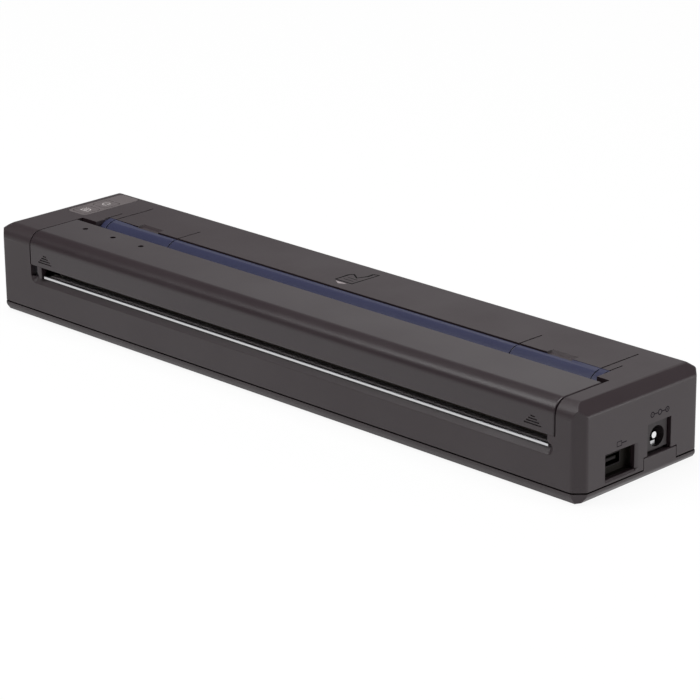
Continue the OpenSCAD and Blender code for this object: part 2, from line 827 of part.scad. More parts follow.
// Skin of the ramp: a quarter arc with a foot and a rear wall
module ramp_skin(low) {
    along_x(ramp_x0, ramp_x1) difference() {
        union() {
            intersection() {
                translate([ramp_cy, ramp_cz]) circle(r = ramp_r, $fn = 96);
                translate([ramp_cy - ramp_r, ramp_cz])
                    square([ramp_y1 - ramp_land - ramp_cy + ramp_r + fit, land_z - ramp_cz]);
            }
            translate([ramp_y1 - ramp_land, ramp_cz]) square([ramp_land, land_z - ramp_cz]);
            translate([ramp_cy - ramp_r, low]) square([ramp_y1 - ramp_cy + ramp_r, ramp_foot + fit]);
        }
        intersection() {
            translate([ramp_cy, ramp_cz]) circle(r = ramp_r - ramp_t, $fn = 96);
            translate([ramp_cy - ramp_r, ramp_cz])
                square([ramp_y1 - ramp_t - ramp_cy + ramp_r, ramp_r]);
        }
        translate([ramp_cy - ramp_r + ramp_t, low - fit])
            square([ramp_y1 - ramp_t - ramp_cy + ramp_r - ramp_t, ramp_foot + 2 * fit]);
    }
}
ramp_foot = 1.2;
lip_gap = 0.15;
land_z = ramp_cz + sqrt(ramp_r * ramp_r - pow(ramp_cy - ramp_y1 + ramp_land, 2));
guide_y = head_y1 + sheet_t / 2 + 2 * swing;

// Sloped guide from the ramp to the print head
module paper_guide() {
    top = ramp_cz - ramp_foot - fit;
    y_top = ramp_cy - ramp_r;
    color([0.1, 0.1, 0.11]) along_x(ramp_x0, ramp_x1) polygon([
        [y_top, top], [guide_y, head_top], [guide_y, head_top - ramp_t],
        [y_top + ramp_t, top - 2 * ramp_t], [ramp_y1, top - 2 * ramp_t], [ramp_y1, top]]);
}

// Bright serrated bar below the exit slot
bar_t = 0.8;
module tear_bar() {
    color([0.85, 0.85, 0.87]) along_x(slot_x0 + swing, slot_x1 - fit) polygon([
        [y_front + trough_d / 3, slot_z + 1.2 * bar_t],
        [y_front + trough_d / 3 + bar_t, slot_z + 1.2 * bar_t],
        [y_front + wall + bar_t, slot_z + bar_t / 2],
        [y_front + wall + bar_t, slot_z + fit - 3 * bar_t],
        [y_front + wall + fit, slot_z + fit - 3 * bar_t],
        [y_front + wall + fit, slot_z + fit / 2],
        [y_front + trough_d, slot_z + fit / 2],
        [y_front + trough_d / 3, slot_z + 2 * fit]]);
}

// Dark rib that leads the sheet from the print head to the bar
guide_h = 2.8;
module exit_guide() {
    color([0.1, 0.1, 0.11])
        block([left_plate_x + sheet_t + fit, y_front + wall + bar_t + fit,
                head_top - fit - guide_h],
            [right_plate_x - fit, head_y0 - sheet_t - 2 * fit, head_top - fit]);
}

// Pale panel around the two keys
module key_panel() {
    color([0.4, 0.38, 0.38]) difference() {
        translate([panel_x0, panel_y0, body_h - panel_t])
            linear_extrude(panel_t) round_rect(panel_w, panel_d, panel_r);
        for (ky = [feed_y, power_y]) key_hole(ky);
    }
}

module key_hole(ky) {
    translate([key_x - key_w / 2, ky - key_d / 2, body_h - panel_t - over])
        linear_extrude(panel_t + 2 * over) round_rect(key_w, key_d, panel_r / 2);
}

// One key cap with its stem
module key_cap(ky) {
    w = key_w - 2 * key_gap;
    d = key_d - 2 * key_gap;
    color([0.42, 0.4, 0.4]) union() {
        translate([key_x - w / 2, ky - d / 2, body_h - key_cap_t])
            linear_extrude(key_cap_t) round_rect(w, d, panel_r / 2);
        post(key_x, ky, switch_top + key_travel + fit, body_h - key_cap_t / 2, stem_r);
    }
}
stem_r = 1.4;
switch_h = 2.6;
switch_w = 4.5;
switch_top = button_board_z + board_t + switch_h;

module power_key() {
    key_cap(power_y);
}

module feed_key() {
    key_cap(feed_y);
}

// Small board under the keys, on a rib of the upper case
module button_board() {
    color([0.12, 0.36, 0.2])
        block([panel_x0 + fit, panel_y0 + fit, button_board_z],
            [panel_x0 + panel_w - fit, power_y + key_d, button_board_z + board_t]);
}

// Two push switches
module key_switches() {
    color([0.15, 0.15, 0.16]) for (ky = [feed_y, power_y])
        union() {
            block([key_x - switch_w / 2, ky - switch_w / 2, button_board_z + board_t],
                [key_x + switch_w / 2, ky + switch_w / 2, switch_top - switch_h / 3]);
            post(key_x, ky, switch_top - switch_h / 2, switch_top, stem_r);
        }
}

// Rubber sleeve of the roller
module platen_rubber() {
    color([0.1, 0.1, 0.1]) difference() {
        rod(roller_x0, roller_x1, platen_y, platen_z, platen_r);
        rod(roller_x0 - over, roller_x1 + over, platen_y, platen_z, shaft_r);
    }
}

// Steel shaft of the roller
module platen_shaft() {
    color([0.75, 0.75, 0.78]) rod(cheek_x0 + fit, cheek_x1 - fit, platen_y, platen_z, shaft_r);
}

// Two flanged bushings in the cheeks
module platen_bushings() {
    color([0.85, 0.83, 0.78]) for (side = [0, 1]) {
        x = side == 0 ? cheek_x0 : cheek_x1 - cheek_t;
        flange = side == 0 ? x + cheek_t : x - swing / 2;
        difference() {
            union() {
                rod(x, x + cheek_t, platen_y, platen_z, bushing_r);
                rod(flange, flange + swing / 2, platen_y, platen_z, bushing_r + bushing_t / 2);
            }
            rod(x - over, x + cheek_t + over, platen_y, platen_z, shaft_r + run_clear);
        }
    }
}

// Involute spur gear outline: a tooth points along the angle turn
addendum_share = 0.9;
dedendum_share = 1.2;
thin_share = 0.94;
pressure = 20;
function inv_deg(a) = tan(a) * 180 / PI - a;
function half_tooth(teeth, r) = 90 / teeth * thin_share + inv_deg(pressure)
    - inv_deg(acos(min(1, pitch_r(teeth) * cos(pressure) / r)));
function polar(r, a) = [r * cos(a), r * sin(a)];
module gear_outline(teeth, turn) {
    pr = pitch_r(teeth);
    root = pr - dedendum_share * gear_m;
    tip = pr + addendum_share * gear_m;
    start = max(root, pr * cos(pressure));
    steps = 4;
    radii = [for (i = [0 : steps]) start + (tip - start) * i / steps];
    polygon([for (t = [0 : teeth - 1]) each concat(
        [polar(root, turn + 360 * t / teeth - half_tooth(teeth, start))],
        [for (r = radii) polar(r, turn + 360 * t / teeth - half_tooth(teeth, r))],
        [for (i = [steps : -1 : 0]) polar(radii[i],
            turn + 360 * t / teeth + half_tooth(teeth, radii[i]))],
        [polar(root, turn + 360 * t / teeth + half_tooth(teeth, start))])]);
}
// Turn of a gear that meshes with its neighbour, which lies at the angle line
function mesh_turn(turn, line, teeth, next_teeth) =
    line + 180 - (turn - line) * teeth / next_teeth - 180 / next_teeth;
platen_turn = train_a;
drive_turn = mesh_turn(platen_turn, train_a, platen_teeth, drive_teeth);
idler_turn = mesh_turn(drive_turn, train_b, drive_teeth, idler_teeth);
pinion_turn = mesh_turn(idler_turn, train_c, idler_teeth, pinion_teeth);

// Gear in its slice with its bore
module spur(teeth, turn, y, z, bore) {
    difference() {
        along_x(gear_x0, gear_x0 + gear_w) translate([y, z]) gear_outline(teeth, turn);
        rod(gear_x0 - over, gear_x0 + gear_w + over, y, z, bore);
    }
}

module platen_gear() {
    color([0.9, 0.9, 0.86]) spur(platen_teeth, platen_turn, platen_y, platen_z, shaft_r);
}

module drive_gear() {
    color([0.9, 0.9, 0.86])
        spur(drive_teeth, drive_turn, drive_y, drive_z, axle_r + run_clear);
}

module idler_gear() {
    color([0.9, 0.9, 0.86])
        spur(idler_teeth, idler_turn, idler_y, idler_z, axle_r + run_clear);
}

// Brass pinion with the motor shaft
module motor_pinion() {
    color([0.8, 0.65, 0.35]) union() {
        along_x(gear_x0, gear_x0 + gear_w) translate([motor_y, motor_z])
            gear_outline(pinion_teeth, pinion_turn);
        rod(gear_x0, left_plate_x + sheet_t + motor_l / 2, motor_y, motor_z, axle_r);
    }
}

// Steel studs for drive and idler gear
module gear_axles() {
    color([0.75, 0.75, 0.78]) union() {
        stud(drive_y, drive_z);
        stud(idler_y, idler_z);
    }
}

// Stud with a retaining head outside the gear
module stud(y, z) {
    rod(gear_x0 - swing / 2, left_plate_x + sheet_t, y, z, axle_r);
    rod(gear_x0 - swing, gear_x0 - swing / 2, y, z, 1.6 * axle_r);
}

// Can stepper motor with its mounting flange
module stepper_motor() {
    x0 = left_plate_x + sheet_t;
    color([0.62, 0.62, 0.64]) difference() {
        union() {
            rod(x0, x0 + motor_l, motor_y, motor_z, motor_r);
            block([x0, motor_y - motor_r - axle_r, motor_z - axle_r * 2],
                [x0 + sheet_t, motor_y + motor_r + axle_r, motor_z + axle_r * 2]);
        }
        rod(x0 - over, x0 + motor_l / 2 + fit, motor_y, motor_z, axle_r + run_clear);
    }
}

// Steel side plate outline, low under the roller and high behind it
plate_end = 2;
plate_rim = 1;
module plate_outline() {
    y0 = y_front + wall + tongue_t + plate_end;
    y1 = y_rear - wall - tongue_t - plate_end;
    step_z = sink_z + sink_t;
    step_y = hinge_y - 3 * run_clear;
    polygon([
        [y0, floor_z],
        [y1, floor_z],
        [y1, pack_z - sheet_t],
        [motor_y + motor_r + plate_rim, motor_z],
        [motor_y + motor_r - plate_rim, motor_z + motor_r],
        [ramp_y1, motor_z + motor_r],
        [drive_y - pitch_r(drive_teeth) / 2, ramp_cz - sheet_t],
        [drive_y - pitch_r(drive_teeth), drive_z],
        [drive_y - pitch_r(drive_teeth), step_z],
        [y0, step_z]]);
}

// Side plate with a foot flange bent towards the middle
module side_plate(x, foot_x) {
    color([0.7, 0.71, 0.73]) difference() {
        union() {
            along_x(x, x + sheet_t) plate_outline();
            block([min(x, foot_x), y_front + plate_foot_end, floor_z],
                [max(x + sheet_t, foot_x), y_rear - plate_foot_end, floor_z + sheet_t]);
        }
        children();
    }
}
plate_foot = 5;
plate_foot_end = 11.88;

module left_side_plate() {
    side_plate(left_plate_x, left_plate_x + sheet_t + plate_foot) {
        union() {
            rod(left_plate_x - over, left_plate_x + over, motor_y, motor_z, axle_r + 2 * fit);
            rod(left_plate_x - over, left_plate_x + over, drive_y, drive_z, axle_r);
            rod(left_plate_x - over, left_plate_x + over, idler_y, idler_z, axle_r);
        }
    }
}

module right_side_plate() {
    side_plate(right_plate_x, right_plate_x - plate_foot)
        block([right_plate_x - over, board_y0 - swing, board_z - swing],
            [right_plate_x + over, board_y1 + swing, board_top + swing]);
}

// Steel beam that joins the side plates under the ramp
module cross_beam() {
    z = ramp_cz - ramp_foot - 2 * ramp_t - fit;
    color([0.7, 0.71, 0.73]) union() {
        block([left_plate_x + sheet_t, ramp_cy - ramp_r + ramp_t, z - sheet_t],
            [right_plate_x, ramp_y1, z]);
        block([left_plate_x + sheet_t, ramp_y1 - sheet_t, z - 3 * sheet_t],
            [right_plate_x, ramp_y1, z]);
    }
}

// Ceramic heater board
module thermal_head() {
    color([0.9, 0.88, 0.82])
        block([roller_x0, head_y0, head_top - head_t], [roller_x1, head_y1, head_top]);
}

// Aluminium bar under the heater board
module heat_sink() {
    color([0.78, 0.79, 0.8]) difference() {
        block([roller_x0, head_y0 - sheet_t, sink_z], [roller_x1, head_y1 + sheet_t / 2,
            head_top - head_t]);
        block([roller_x0 - over, platen_y - spring_r / 2, sink_z - over],
            [roller_x1 + over, platen_y + spring_r / 2, sink_z + sink_t / 4]);
    }
}

function spring_x(i) = roller_x0 + (roller_x1 - roller_x0) * (i + 0.5) / spring_count;

// Coil springs that lift the head against the roller
module head_springs() {
    color([0.7, 0.7, 0.72]) for (i = [0 : spring_count - 1]) difference() {
        post(spring_x(i), platen_y, bracket_z + bracket_h, sink_z, spring_r);
        post(spring_x(i), platen_y, bracket_z + bracket_h - over, sink_z + over,
            spring_r - sheet_t / 2);
    }
}

// Steel channel that carries the springs
module head_bracket() {
    color([0.66, 0.67, 0.7]) union() {
        block([left_plate_x + sheet_t, head_y0 - 2 * sheet_t - fit, bracket_z],
            [right_plate_x, head_y1, bracket_z + bracket_h]);
        block([left_plate_x + sheet_t, head_y0 - 2 * sheet_t - fit, bracket_z],
            [right_plate_x, head_y0 - sheet_t - fit, sink_z]);
    }
}

// Flat cable from the heater board to the main board
cable_w = 34;
cable_t = 0.3;
cable_run = 3.5;
plug_h = 2.1;
plug_d = 2.8;
module head_cable() {
    x0 = -cable_w / 2;
    y0 = head_y1 + sheet_t / 2 + fit;
    z0 = board_top + plug_h;
    color([0.8, 0.55, 0.25]) union() {
        block([x0, y0, z0], [x0 + cable_w, y0 + cable_t, sink_z + sink_t]);
        block([x0, y0, z0], [x0 + cable_w, y0 + cable_run, z0 + cable_t]);
    }
}

// Main circuit board
module main_board() {
    color([0.1, 0.34, 0.2]) difference() {
        block([board_x0, board_y0, board_z], [board_x1, board_y1, board_top]);
        for (p = board_posts) post(p[0], p[1], board_z - over, board_top + over, screw_r + fit);
    }
}

// Chips and connectors: middle and length as shares of the board's length
chip_shares = [[0.1, 0.09], [0.26, 0.05], [0.38, 0.04], [0.7, 0.08], [0.86, 0.03]];
chip_front_share = 0.4;
chip_rear_share = 0.7;
chip_h = 1.2;
module board_parts() {
    plug_y0 = head_y1 + sheet_t / 2 + cable_run;
    color([0.12, 0.12, 0.13]) for (c = chip_shares)
        block([board_x0 + board_w * (c[0] - c[1] / 2),
                board_y0 + board_d * chip_front_share, board_top],
            [board_x0 + board_w * (c[0] + c[1] / 2),
                board_y0 + board_d * chip_rear_share, board_top + chip_h]);
    color([0.9, 0.88, 0.8])
        block([-cable_w / 2 - fit, plug_y0, board_top],
            [cable_w / 2 + fit, plug_y0 + plug_d, board_top + plug_h]);
    color([0.9, 0.88, 0.8])
        block([board_x0 + fit, board_y1 - motor_cable_w - board_t, board_top],
            [board_x0 + 2 * board_t, board_y1 - board_t, board_top + board_t]);
}

// Small data socket: metal shell with its contact tongue
shell_t = 0.4;
module usb_socket() {
    x1 = x_right - usb_back;
    color([0.8, 0.8, 0.82]) union() {
        difference() {
            block([x1 - socket_l, socket_y0, board_top],
                [x1, socket_y0 + socket_w, board_top + socket_h]);
            block([x1 - socket_l + 3 * shell_t, socket_y0 + shell_t, board_top + shell_t],
                [x1 + over, socket_y0 + socket_w - shell_t, board_top + socket_h - shell_t]);
        }
        block([x1 - socket_l + shell_t, socket_y0 + socket_w / 4, board_top + socket_h / 2 - shell_t],
            [x1 - shell_t, socket_y0 + socket_w * 3 / 4, board_top + socket_h / 2 + shell_t]);
    }
}

// Shallow tray behind the data opening, with a window for the socket
module port_surround() {
    x0 = board_x1 + fit;
    color([0.12, 0.12, 0.13]) difference() {
        block([x0, usb_y0 - surround_t, usb_z - surround_t],
            [x_right - wall - fit, usb_y1 + surround_t, usb_z + usb_h + surround_t]);
        block([x0 + surround_t, usb_y0, usb_z], [x_right, usb_y1, usb_z + usb_h]);
        block([x0 - over, socket_y0 - fit, board_top - fit],
            [x_right, socket_y0 + socket_w + fit, board_top + socket_h + fit]);
    }
}

// Power inlet block with its round bore
module dc_jack() {
    x1 = x_right - dc_back;
    color([0.13, 0.13, 0.14]) difference() {
        block([x1 - jack_l, jack_y0, board_top], [x1, jack_y0 + jack_w, board_top + jack_h]);
        rod(x1 - jack_l + 2 * dc_pin_r, x1 + over, jack_cy, jack_cz, dc_r);
        block([x_right - wall - fit, jack_y0 - over, board_top - over],
            [x1 + over, jack_y0 + jack_w + over, dc_z + jack_gap]);
    }
}

// Contact pin in the power inlet
module dc_pin() {
    x1 = x_right - dc_back;
    color([0.85, 0.82, 0.7])
        rod(x1 - jack_l + 2 * dc_pin_r, x1 - dc_pin_r, jack_cy, jack_cz, dc_pin_r);
}

// Reflective paper sensor in the guide behind the head
sensor_w = 4.2;
module paper_sensor() {
    color([0.08, 0.08, 0.09])
        block([sensor_w, ramp_cy - ramp_r + ramp_t, ramp_cz - ramp_foot - 2 * ramp_t - 5 * sheet_t],
            [2 * sensor_w, ramp_y1 - sheet_t - fit, ramp_cz - ramp_foot - 2 * ramp_t - sheet_t - fit]);
}

// Twelve cells in two rows
module battery_cells() {
    color([0.25, 0.45, 0.35]) for (i = [0 : cell_count - 1], row = [0, 1])
        rod(pack_x0 + sleeve_t + fit + i * (cell_l + fit),
            pack_x0 + sleeve_t + fit + i * (cell_l + fit) + cell_l,
            pack_y0 + sleeve_t + fit + cell_r + row * (2 * cell_r + fit),
            pack_z + sleeve_t + fit + cell_r, cell_r);
}

// Shrink sleeve around the cells
module battery_sleeve() {
    color([0.16, 0.2, 0.42]) difference() {
        block([pack_x0, pack_y0, pack_z], [pack_x1, pack_y0 + pack_d, pack_z + pack_h]);
        block([pack_x0 + sleeve_t, pack_y0 + sleeve_t, pack_z + sleeve_t],
            [pack_x1 - sleeve_t, pack_y0 + pack_d - sleeve_t, pack_z + pack_h - sleeve_t]);
    }
}

// Cradle that carries the pack over the main board
cradle_t = 1.2;
module battery_cradle() {
    leg_y = board_y1 + swing + cradle_t / 2;
    color([0.16, 0.16, 0.17]) union() {
        block([pack_x0, pack_y0, pack_z - cradle_t], [pack_x1, pack_y1 - swing, pack_z]);
        block([pack_x0, pack_y0 - cradle_t, pack_z - cradle_t], [pack_x1, pack_y0, pack_z + cradle_t]);
        for (y = [leg_y, pack_y1 - 3 * cradle_t])
            block([pack_x0, y, floor_z], [pack_x1, y + cradle_t, pack_z - cradle_t]);
    }
}

// Contact block at the right end of the pack, on the main board
contact_w = 5;
module battery_contacts() {
    color([0.15, 0.15, 0.16]) block([pack_x1 + fit, board_y1 - contact_w, board_top],
        [pack_x1 + fit + contact_w, board_y1 - swing, pack_z + pack_h / 2]);
}

// Rear door of the battery bay, hinged at its lower edge
door_axis_y = y_rear - door_t / 2;
door_axis_z = door_z + door_t / 2;
grip_w = 30;
grip_z = 11.2;
grip_h = 1.12;
grip_d = 0.6;
module battery_door() {
    color([0.2, 0.18, 0.185]) difference() {
        union() {
            block([door_x0, y_rear - door_t, door_axis_z], [door_x1, y_rear, door_z + door_h]);
            rod(door_x0, door_x1, door_axis_y, door_axis_z, door_t / 2);
        }
        for (x = [door_x0, door_x1 - door_boss])
            rod(x - over, x + door_boss, door_axis_y, door_axis_z, door_pin_r / 2 + run_clear);
        block([(door_x0 + door_x1 - grip_w) / 2, y_rear - grip_d, door_z + grip_z],
            [(door_x0 + door_x1 + grip_w) / 2, y_rear + over, door_z + grip_z + grip_h]);
    }
}

// Steel pins of the battery door
module door_pins() {
    color([0.75, 0.75, 0.78]) union() {
        rod(door_x0 - seam_gap, door_x0 + door_boss - fit, door_axis_y, door_axis_z,
            door_pin_r / 2);
        rod(door_x1 - door_boss + fit, door_x1 + seam_gap, door_axis_y, door_axis_z,
            door_pin_r / 2);
    }
}

// Flat cable from the motor to the main board
motor_cable_w = 5;
module motor_cable() {
    x0 = left_plate_x + sheet_t + motor_l;
    y1 = board_y1 - board_t;
    z0 = board_top + board_t / 2;
    color([0.85, 0.83, 0.8]) union() {
        block([x0, y1 - motor_cable_w, z0], [x0 + cable_t, y1, motor_z]);
        block([x0, y1 - motor_cable_w, z0], [board_x0 + fit, y1, z0 + cable_t]);
    }
}

// Screws that hold the main board
module board_screws() {
    color([0.6, 0.6, 0.62]) for (p = board_posts) union() {
        post(p[0], p[1], floor_z + fit, board_top, screw_r);
        post(p[0], p[1], board_top, board_top + screw_head_h, screw_head_r);
    }
}

// Screws that join tray and upper case
slot_half = 1.4;
module case_screws() {
    color([0.35, 0.35, 0.37]) at_case_screws() difference() {
        union() {
            post(0, 0, foot_h + fit, foot_h + screw_head_h, screw_head_r);
            post(0, 0, foot_h + screw_head_h / 2, case_boss_top - wall - fit, screw_r);
        }
        for (turn = [0, 90]) rotate([0, 0, turn])
            block([-slot_half, -screw_head_r / 8, foot_h - over],
                [slot_half, screw_head_r / 8, foot_h + screw_head_h / 2]);
    }
}

// Rubber feet under the tray
module rubber_feet() {
    color([0.08, 0.08, 0.08]) for (sx = [-1, 1], sy = [-1, 1])
        post(sx * (body_w / 2 - foot_end), sy * (body_d / 2 - foot_side), 0, foot_h, foot_r);
}

base_tray();
body_shell();
release_cover();
inlet_ramp();
paper_guide();
tear_bar();
exit_guide();
key_panel();
power_key();
feed_key();
button_board();
key_switches();
led_lenses();
led_board();
hinge_pins();
cover_latches();
platen_rubber();
platen_shaft();
platen_bushings();
platen_gear();
drive_gear();
idler_gear();
motor_pinion();
gear_axles();
stepper_motor();
left_side_plate();
right_side_plate();
cross_beam();
thermal_head();
heat_sink();
head_springs();
head_bracket();
head_cable();
main_board();
board_parts();
usb_socket();
port_surround();
dc_jack();
dc_pin();
paper_sensor();
battery_cells();
battery_sleeve();
battery_cradle();
battery_contacts();
battery_door();
door_pins();
motor_cable();
board_screws();
case_screws();
rubber_feet();
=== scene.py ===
"""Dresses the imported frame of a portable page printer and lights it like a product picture.

The axes are the frame's own: X along the bar, -Y the paper exit side, Z up. Lengths are in metres,
and where a docstring says so in millimetres.
"""

import logging
import math
from contextlib import contextmanager
from dataclasses import dataclass
from enum import Enum
from functools import partial
from typing import Any, Callable, ClassVar, Iterable, Iterator, Sequence

import bmesh
import bpy
from mathutils import Matrix, Vector

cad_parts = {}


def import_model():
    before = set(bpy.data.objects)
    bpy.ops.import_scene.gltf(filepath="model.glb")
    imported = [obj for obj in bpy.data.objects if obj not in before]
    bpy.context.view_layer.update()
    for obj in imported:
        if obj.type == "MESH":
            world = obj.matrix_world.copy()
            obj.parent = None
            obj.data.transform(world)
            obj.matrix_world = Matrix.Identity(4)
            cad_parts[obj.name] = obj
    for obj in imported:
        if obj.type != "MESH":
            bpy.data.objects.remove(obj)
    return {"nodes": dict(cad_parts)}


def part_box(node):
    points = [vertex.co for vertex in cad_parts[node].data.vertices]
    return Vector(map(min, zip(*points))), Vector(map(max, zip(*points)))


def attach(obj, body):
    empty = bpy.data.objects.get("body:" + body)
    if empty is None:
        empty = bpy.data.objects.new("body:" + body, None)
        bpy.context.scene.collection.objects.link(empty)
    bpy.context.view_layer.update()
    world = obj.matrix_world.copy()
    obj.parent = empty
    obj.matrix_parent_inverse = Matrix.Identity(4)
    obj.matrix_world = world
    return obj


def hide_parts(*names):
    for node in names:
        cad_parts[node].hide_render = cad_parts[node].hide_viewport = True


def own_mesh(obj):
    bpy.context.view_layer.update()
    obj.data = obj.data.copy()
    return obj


LOG = logging.getLogger("printer")
MM = 0.001

Piece = bpy.types.Object
Tree = bpy.types.NodeTree
Socket = bpy.types.NodeSocket
Test = Callable[[Any], bool]
Spot = tuple[float, float]
Triple = tuple[float, float, float]
Anchors = tuple[Spot, Spot, Spot]

# Tolerances and limits of the mesh work

ON_PLANE = 0.02 * MM
AT_END = 0.1 * MM
MERGED = 0.002 * MM
CLOSED = 0.01 * MM
FLAT_ANGLE = 0.4
SHARP_ANGLE = 32.0
OUTER_ANGLE = 18.0
FACING = 0.99
UNDERSIDE = -0.9
BEVEL_ROOM = 2.2
NORMAL_WEIGHT = 80


class Axis(Enum):
    """The three axes of the frame, as unit vectors."""

    X = (1.0, 0.0, 0.0)
    Y = (0.0, 1.0, 0.0)
    Z = (0.0, 0.0, 1.0)

    @property
    def vector(self) -> Vector:
        """The axis as a vector."""
        return Vector(self.value)

    @property
    def plane(self) -> tuple[Vector, Vector]:
        """The two axes across this one."""
        return {Axis.X: (Axis.Y.vector, Axis.Z.vector), Axis.Y: (Axis.X.vector, Axis.Z.vector),
                Axis.Z: (Axis.X.vector, Axis.Y.vector)}[self]


def linear(colour: Sequence[float]) -> tuple[float, float, float, float]:
    """Turns a colour as a screen shows it, 0 to 255, into Blender's linear values.

    Args:
        colour: Red, green and blue of the screen colour.

    Returns:
        The linear colour with full alpha.
    """
    def channel(value: float) -> float:
        """Linear value of one channel, by the usual curve of screens."""
        share = value / 255.0
        return share / 12.92 if share <= 0.04045 else ((share + 0.055) / 1.055) ** 2.4

    red, green, blue = (channel(value) for value in colour)
    return (red, green, blue, 1.0)


# Mesh work


def deselect_all() -> None:
    """Leaves no object selected."""
    if bpy.context.object and bpy.context.object.mode != "OBJECT":
        bpy.ops.object.mode_set(mode="OBJECT")
    bpy.ops.object.select_all(action="DESELECT")


def activate(piece: Piece) -> Piece:
    """Makes one object the only selected and active one.

    Args:
        piece: The object to work on.

    Returns:
        The same object.
    """
    deselect_all()
    piece.select_set(True)
    bpy.context.view_layer.objects.active = piece
    return piece


@contextmanager
def editing(piece: Piece) -> Iterator[None]:
    """Keeps a piece in edit mode while some operators run, at first with all of it selected.

    Args:
        piece: The object to edit.
    """
    activate(piece)
    bpy.ops.object.mode_set(mode="EDIT")
    bpy.ops.mesh.select_all(action="SELECT")
    yield
    bpy.ops.object.mode_set(mode="OBJECT")


def added(name: str, operator: Callable, **options: Any) -> Piece:
    """Adds an object with an operator and moves its place, turn and scale into its mesh.

    Args:
        name: Name of the new object.
        operator: The operator that adds it.
        **options: What the operator is given.

    Returns:
        The new object, at the origin.
    """
    deselect_all()
    operator(**options)
    piece = activate(bpy.context.object)
    piece.name = name
    bpy.ops.object.transform_apply(location=True, rotation=True, scale=True)
    return piece


def modified(piece: Piece, kind: str, **settings: Any) -> Piece:
    """Puts a modifier on a piece and applies it.

    Args:
        piece: The object to change.
        kind: The modifier's type name.
        **settings: The modifier's settings.

    Returns:
        The same object.
    """
    activate(piece)
    bpy.ops.object.modifier_add(type=kind)
    modifier = piece.modifiers[-1]
    for name, value in settings.items():
        setattr(modifier, name, value)
    bpy.ops.object.modifier_apply(modifier=modifier.name)
    return piece


def middle_of(node: str) -> Vector:
    """Middle of the box of a CAD node."""
    low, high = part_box(node)
    return (low + high) / 2


def box(name: str, low: Sequence[float], high: Sequence[float]) -> Piece:
    """Adds a box between two corners.

    Args:
        name: Name of the new object.
        low: Lowest corner.
        high: Highest corner.

    Returns:
        The new object.
    """
    low_corner, high_corner = Vector(low), Vector(high)
    return added(name, bpy.ops.mesh.primitive_cube_add, size=1.0,
                 location=(low_corner + high_corner) / 2, scale=high_corner - low_corner)


def block(name: str, node: str, low: Anchors, high: Anchors) -> Piece:
    """Adds a box whose corners are placed by the box of a CAD node.

    Args:
        name: Name of the new object.
        node: The CAD node.
        low: Lowest corner: for each axis a share of the node's box, and millimetres from there.
        high: Highest corner, in the same way.

    Returns:
        The new object.
    """
    start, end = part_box(node)
    corners = [[start[axis] + share * (end[axis] - start[axis]) + shift * MM
                for axis, (share, shift) in enumerate(anchors)] for anchors in (low, high)]
    return box(name, *corners)


def rod(name: str, start: Sequence[float], axis: Axis, length: float, radius: float,
        sides: int) -> Piece:
    """Adds a round bar.

    Args:
        name: Name of the new object.
        start: Centre of its first end.
        axis: Axis that it runs along.
        length: Its length.
        radius: Its radius.
        sides: Number of sides.

    Returns:
        The new object.
    """
    return added(name, bpy.ops.mesh.primitive_cylinder_add, vertices=sides, radius=radius,
                 depth=length, location=Vector(start) + axis.vector * length / 2,
                 rotation=Axis.Z.vector.rotation_difference(axis.vector).to_euler())


def select_where(piece: Piece, kind: str, test: Test) -> int:
    """Selects the faces, edges or corners of a piece in edit mode that pass a test.

    Args:
        piece: The object, already in edit mode.
        kind: One of "faces", "edges" and "verts".
        test: Called with each bmesh face, edge or corner.

    Returns:
        How many were selected.
    """
    bpy.ops.mesh.select_mode(type={"faces": "FACE", "edges": "EDGE", "verts": "VERT"}[kind])
    bpy.ops.mesh.select_all(action="DESELECT")
    shape = bmesh.from_edit_mesh(piece.data)
    chosen = [item for item in getattr(shape, kind) if test(item)]
    for item in chosen:
        item.select_set(True)
    shape.select_flush_mode()
    bmesh.update_edit_mesh(piece.data)
    return len(chosen)


def nudged(piece: Piece, test: Test, shift: Sequence[float]) -> Piece:
    """Moves the corners of a piece that pass a test.

    Args:
        piece: The object to change.
        test: Called with the place of each corner.
        shift: Distance to move them.

    Returns:
        The same object.
    """
    with editing(piece):
        if select_where(piece, "verts", lambda corner: test(corner.co)):
            bpy.ops.transform.translate(value=Vector(shift))
    return piece


def dished(piece: Piece, way: Vector, *insets: Spot) -> Piece:
    """Insets the end of a piece, once or more, each time pushing the inner face in or out.

    Args:
        piece: The object to edit.
        way: Direction that the end looks in.
        *insets: Width of the rim that is left, and distance along the face normal.

    Returns:
        The same object.
    """
    with editing(piece):
        if select_where(piece, "faces", lambda face: face.normal.dot(way) > FACING):
            for border, depth in insets:
                bpy.ops.mesh.inset(thickness=border, depth=depth)
    return piece


def bevelled(piece: Piece, width: float, segments: int = 2) -> Piece:
    """Rounds the sharp edges of a piece wherever there is room for the rounding.

    Args:
        piece: The object to round.
        width: Width of the rounding.
        segments: Number of strips in the rounding.

    Returns:
        The same object.
    """
    def roomy(edge: bmesh.types.BMEdge) -> bool:
        """Tells whether an edge is sharp and all edges at its ends are long enough."""
        return (len(edge.link_faces) == 2
                and edge.calc_face_angle(0.0) > math.radians(SHARP_ANGLE)
                and all(side.calc_length() > BEVEL_ROOM * width
                        for corner in edge.verts for side in corner.link_edges))

    with editing(piece):
        if select_where(piece, "edges", roomy):
            bpy.ops.mesh.bevel(offset=width, offset_type="OFFSET", segments=segments,
                               profile=0.5, affect="EDGES", clamp_overlap=False,
                               miter_outer="SHARP")
    return piece


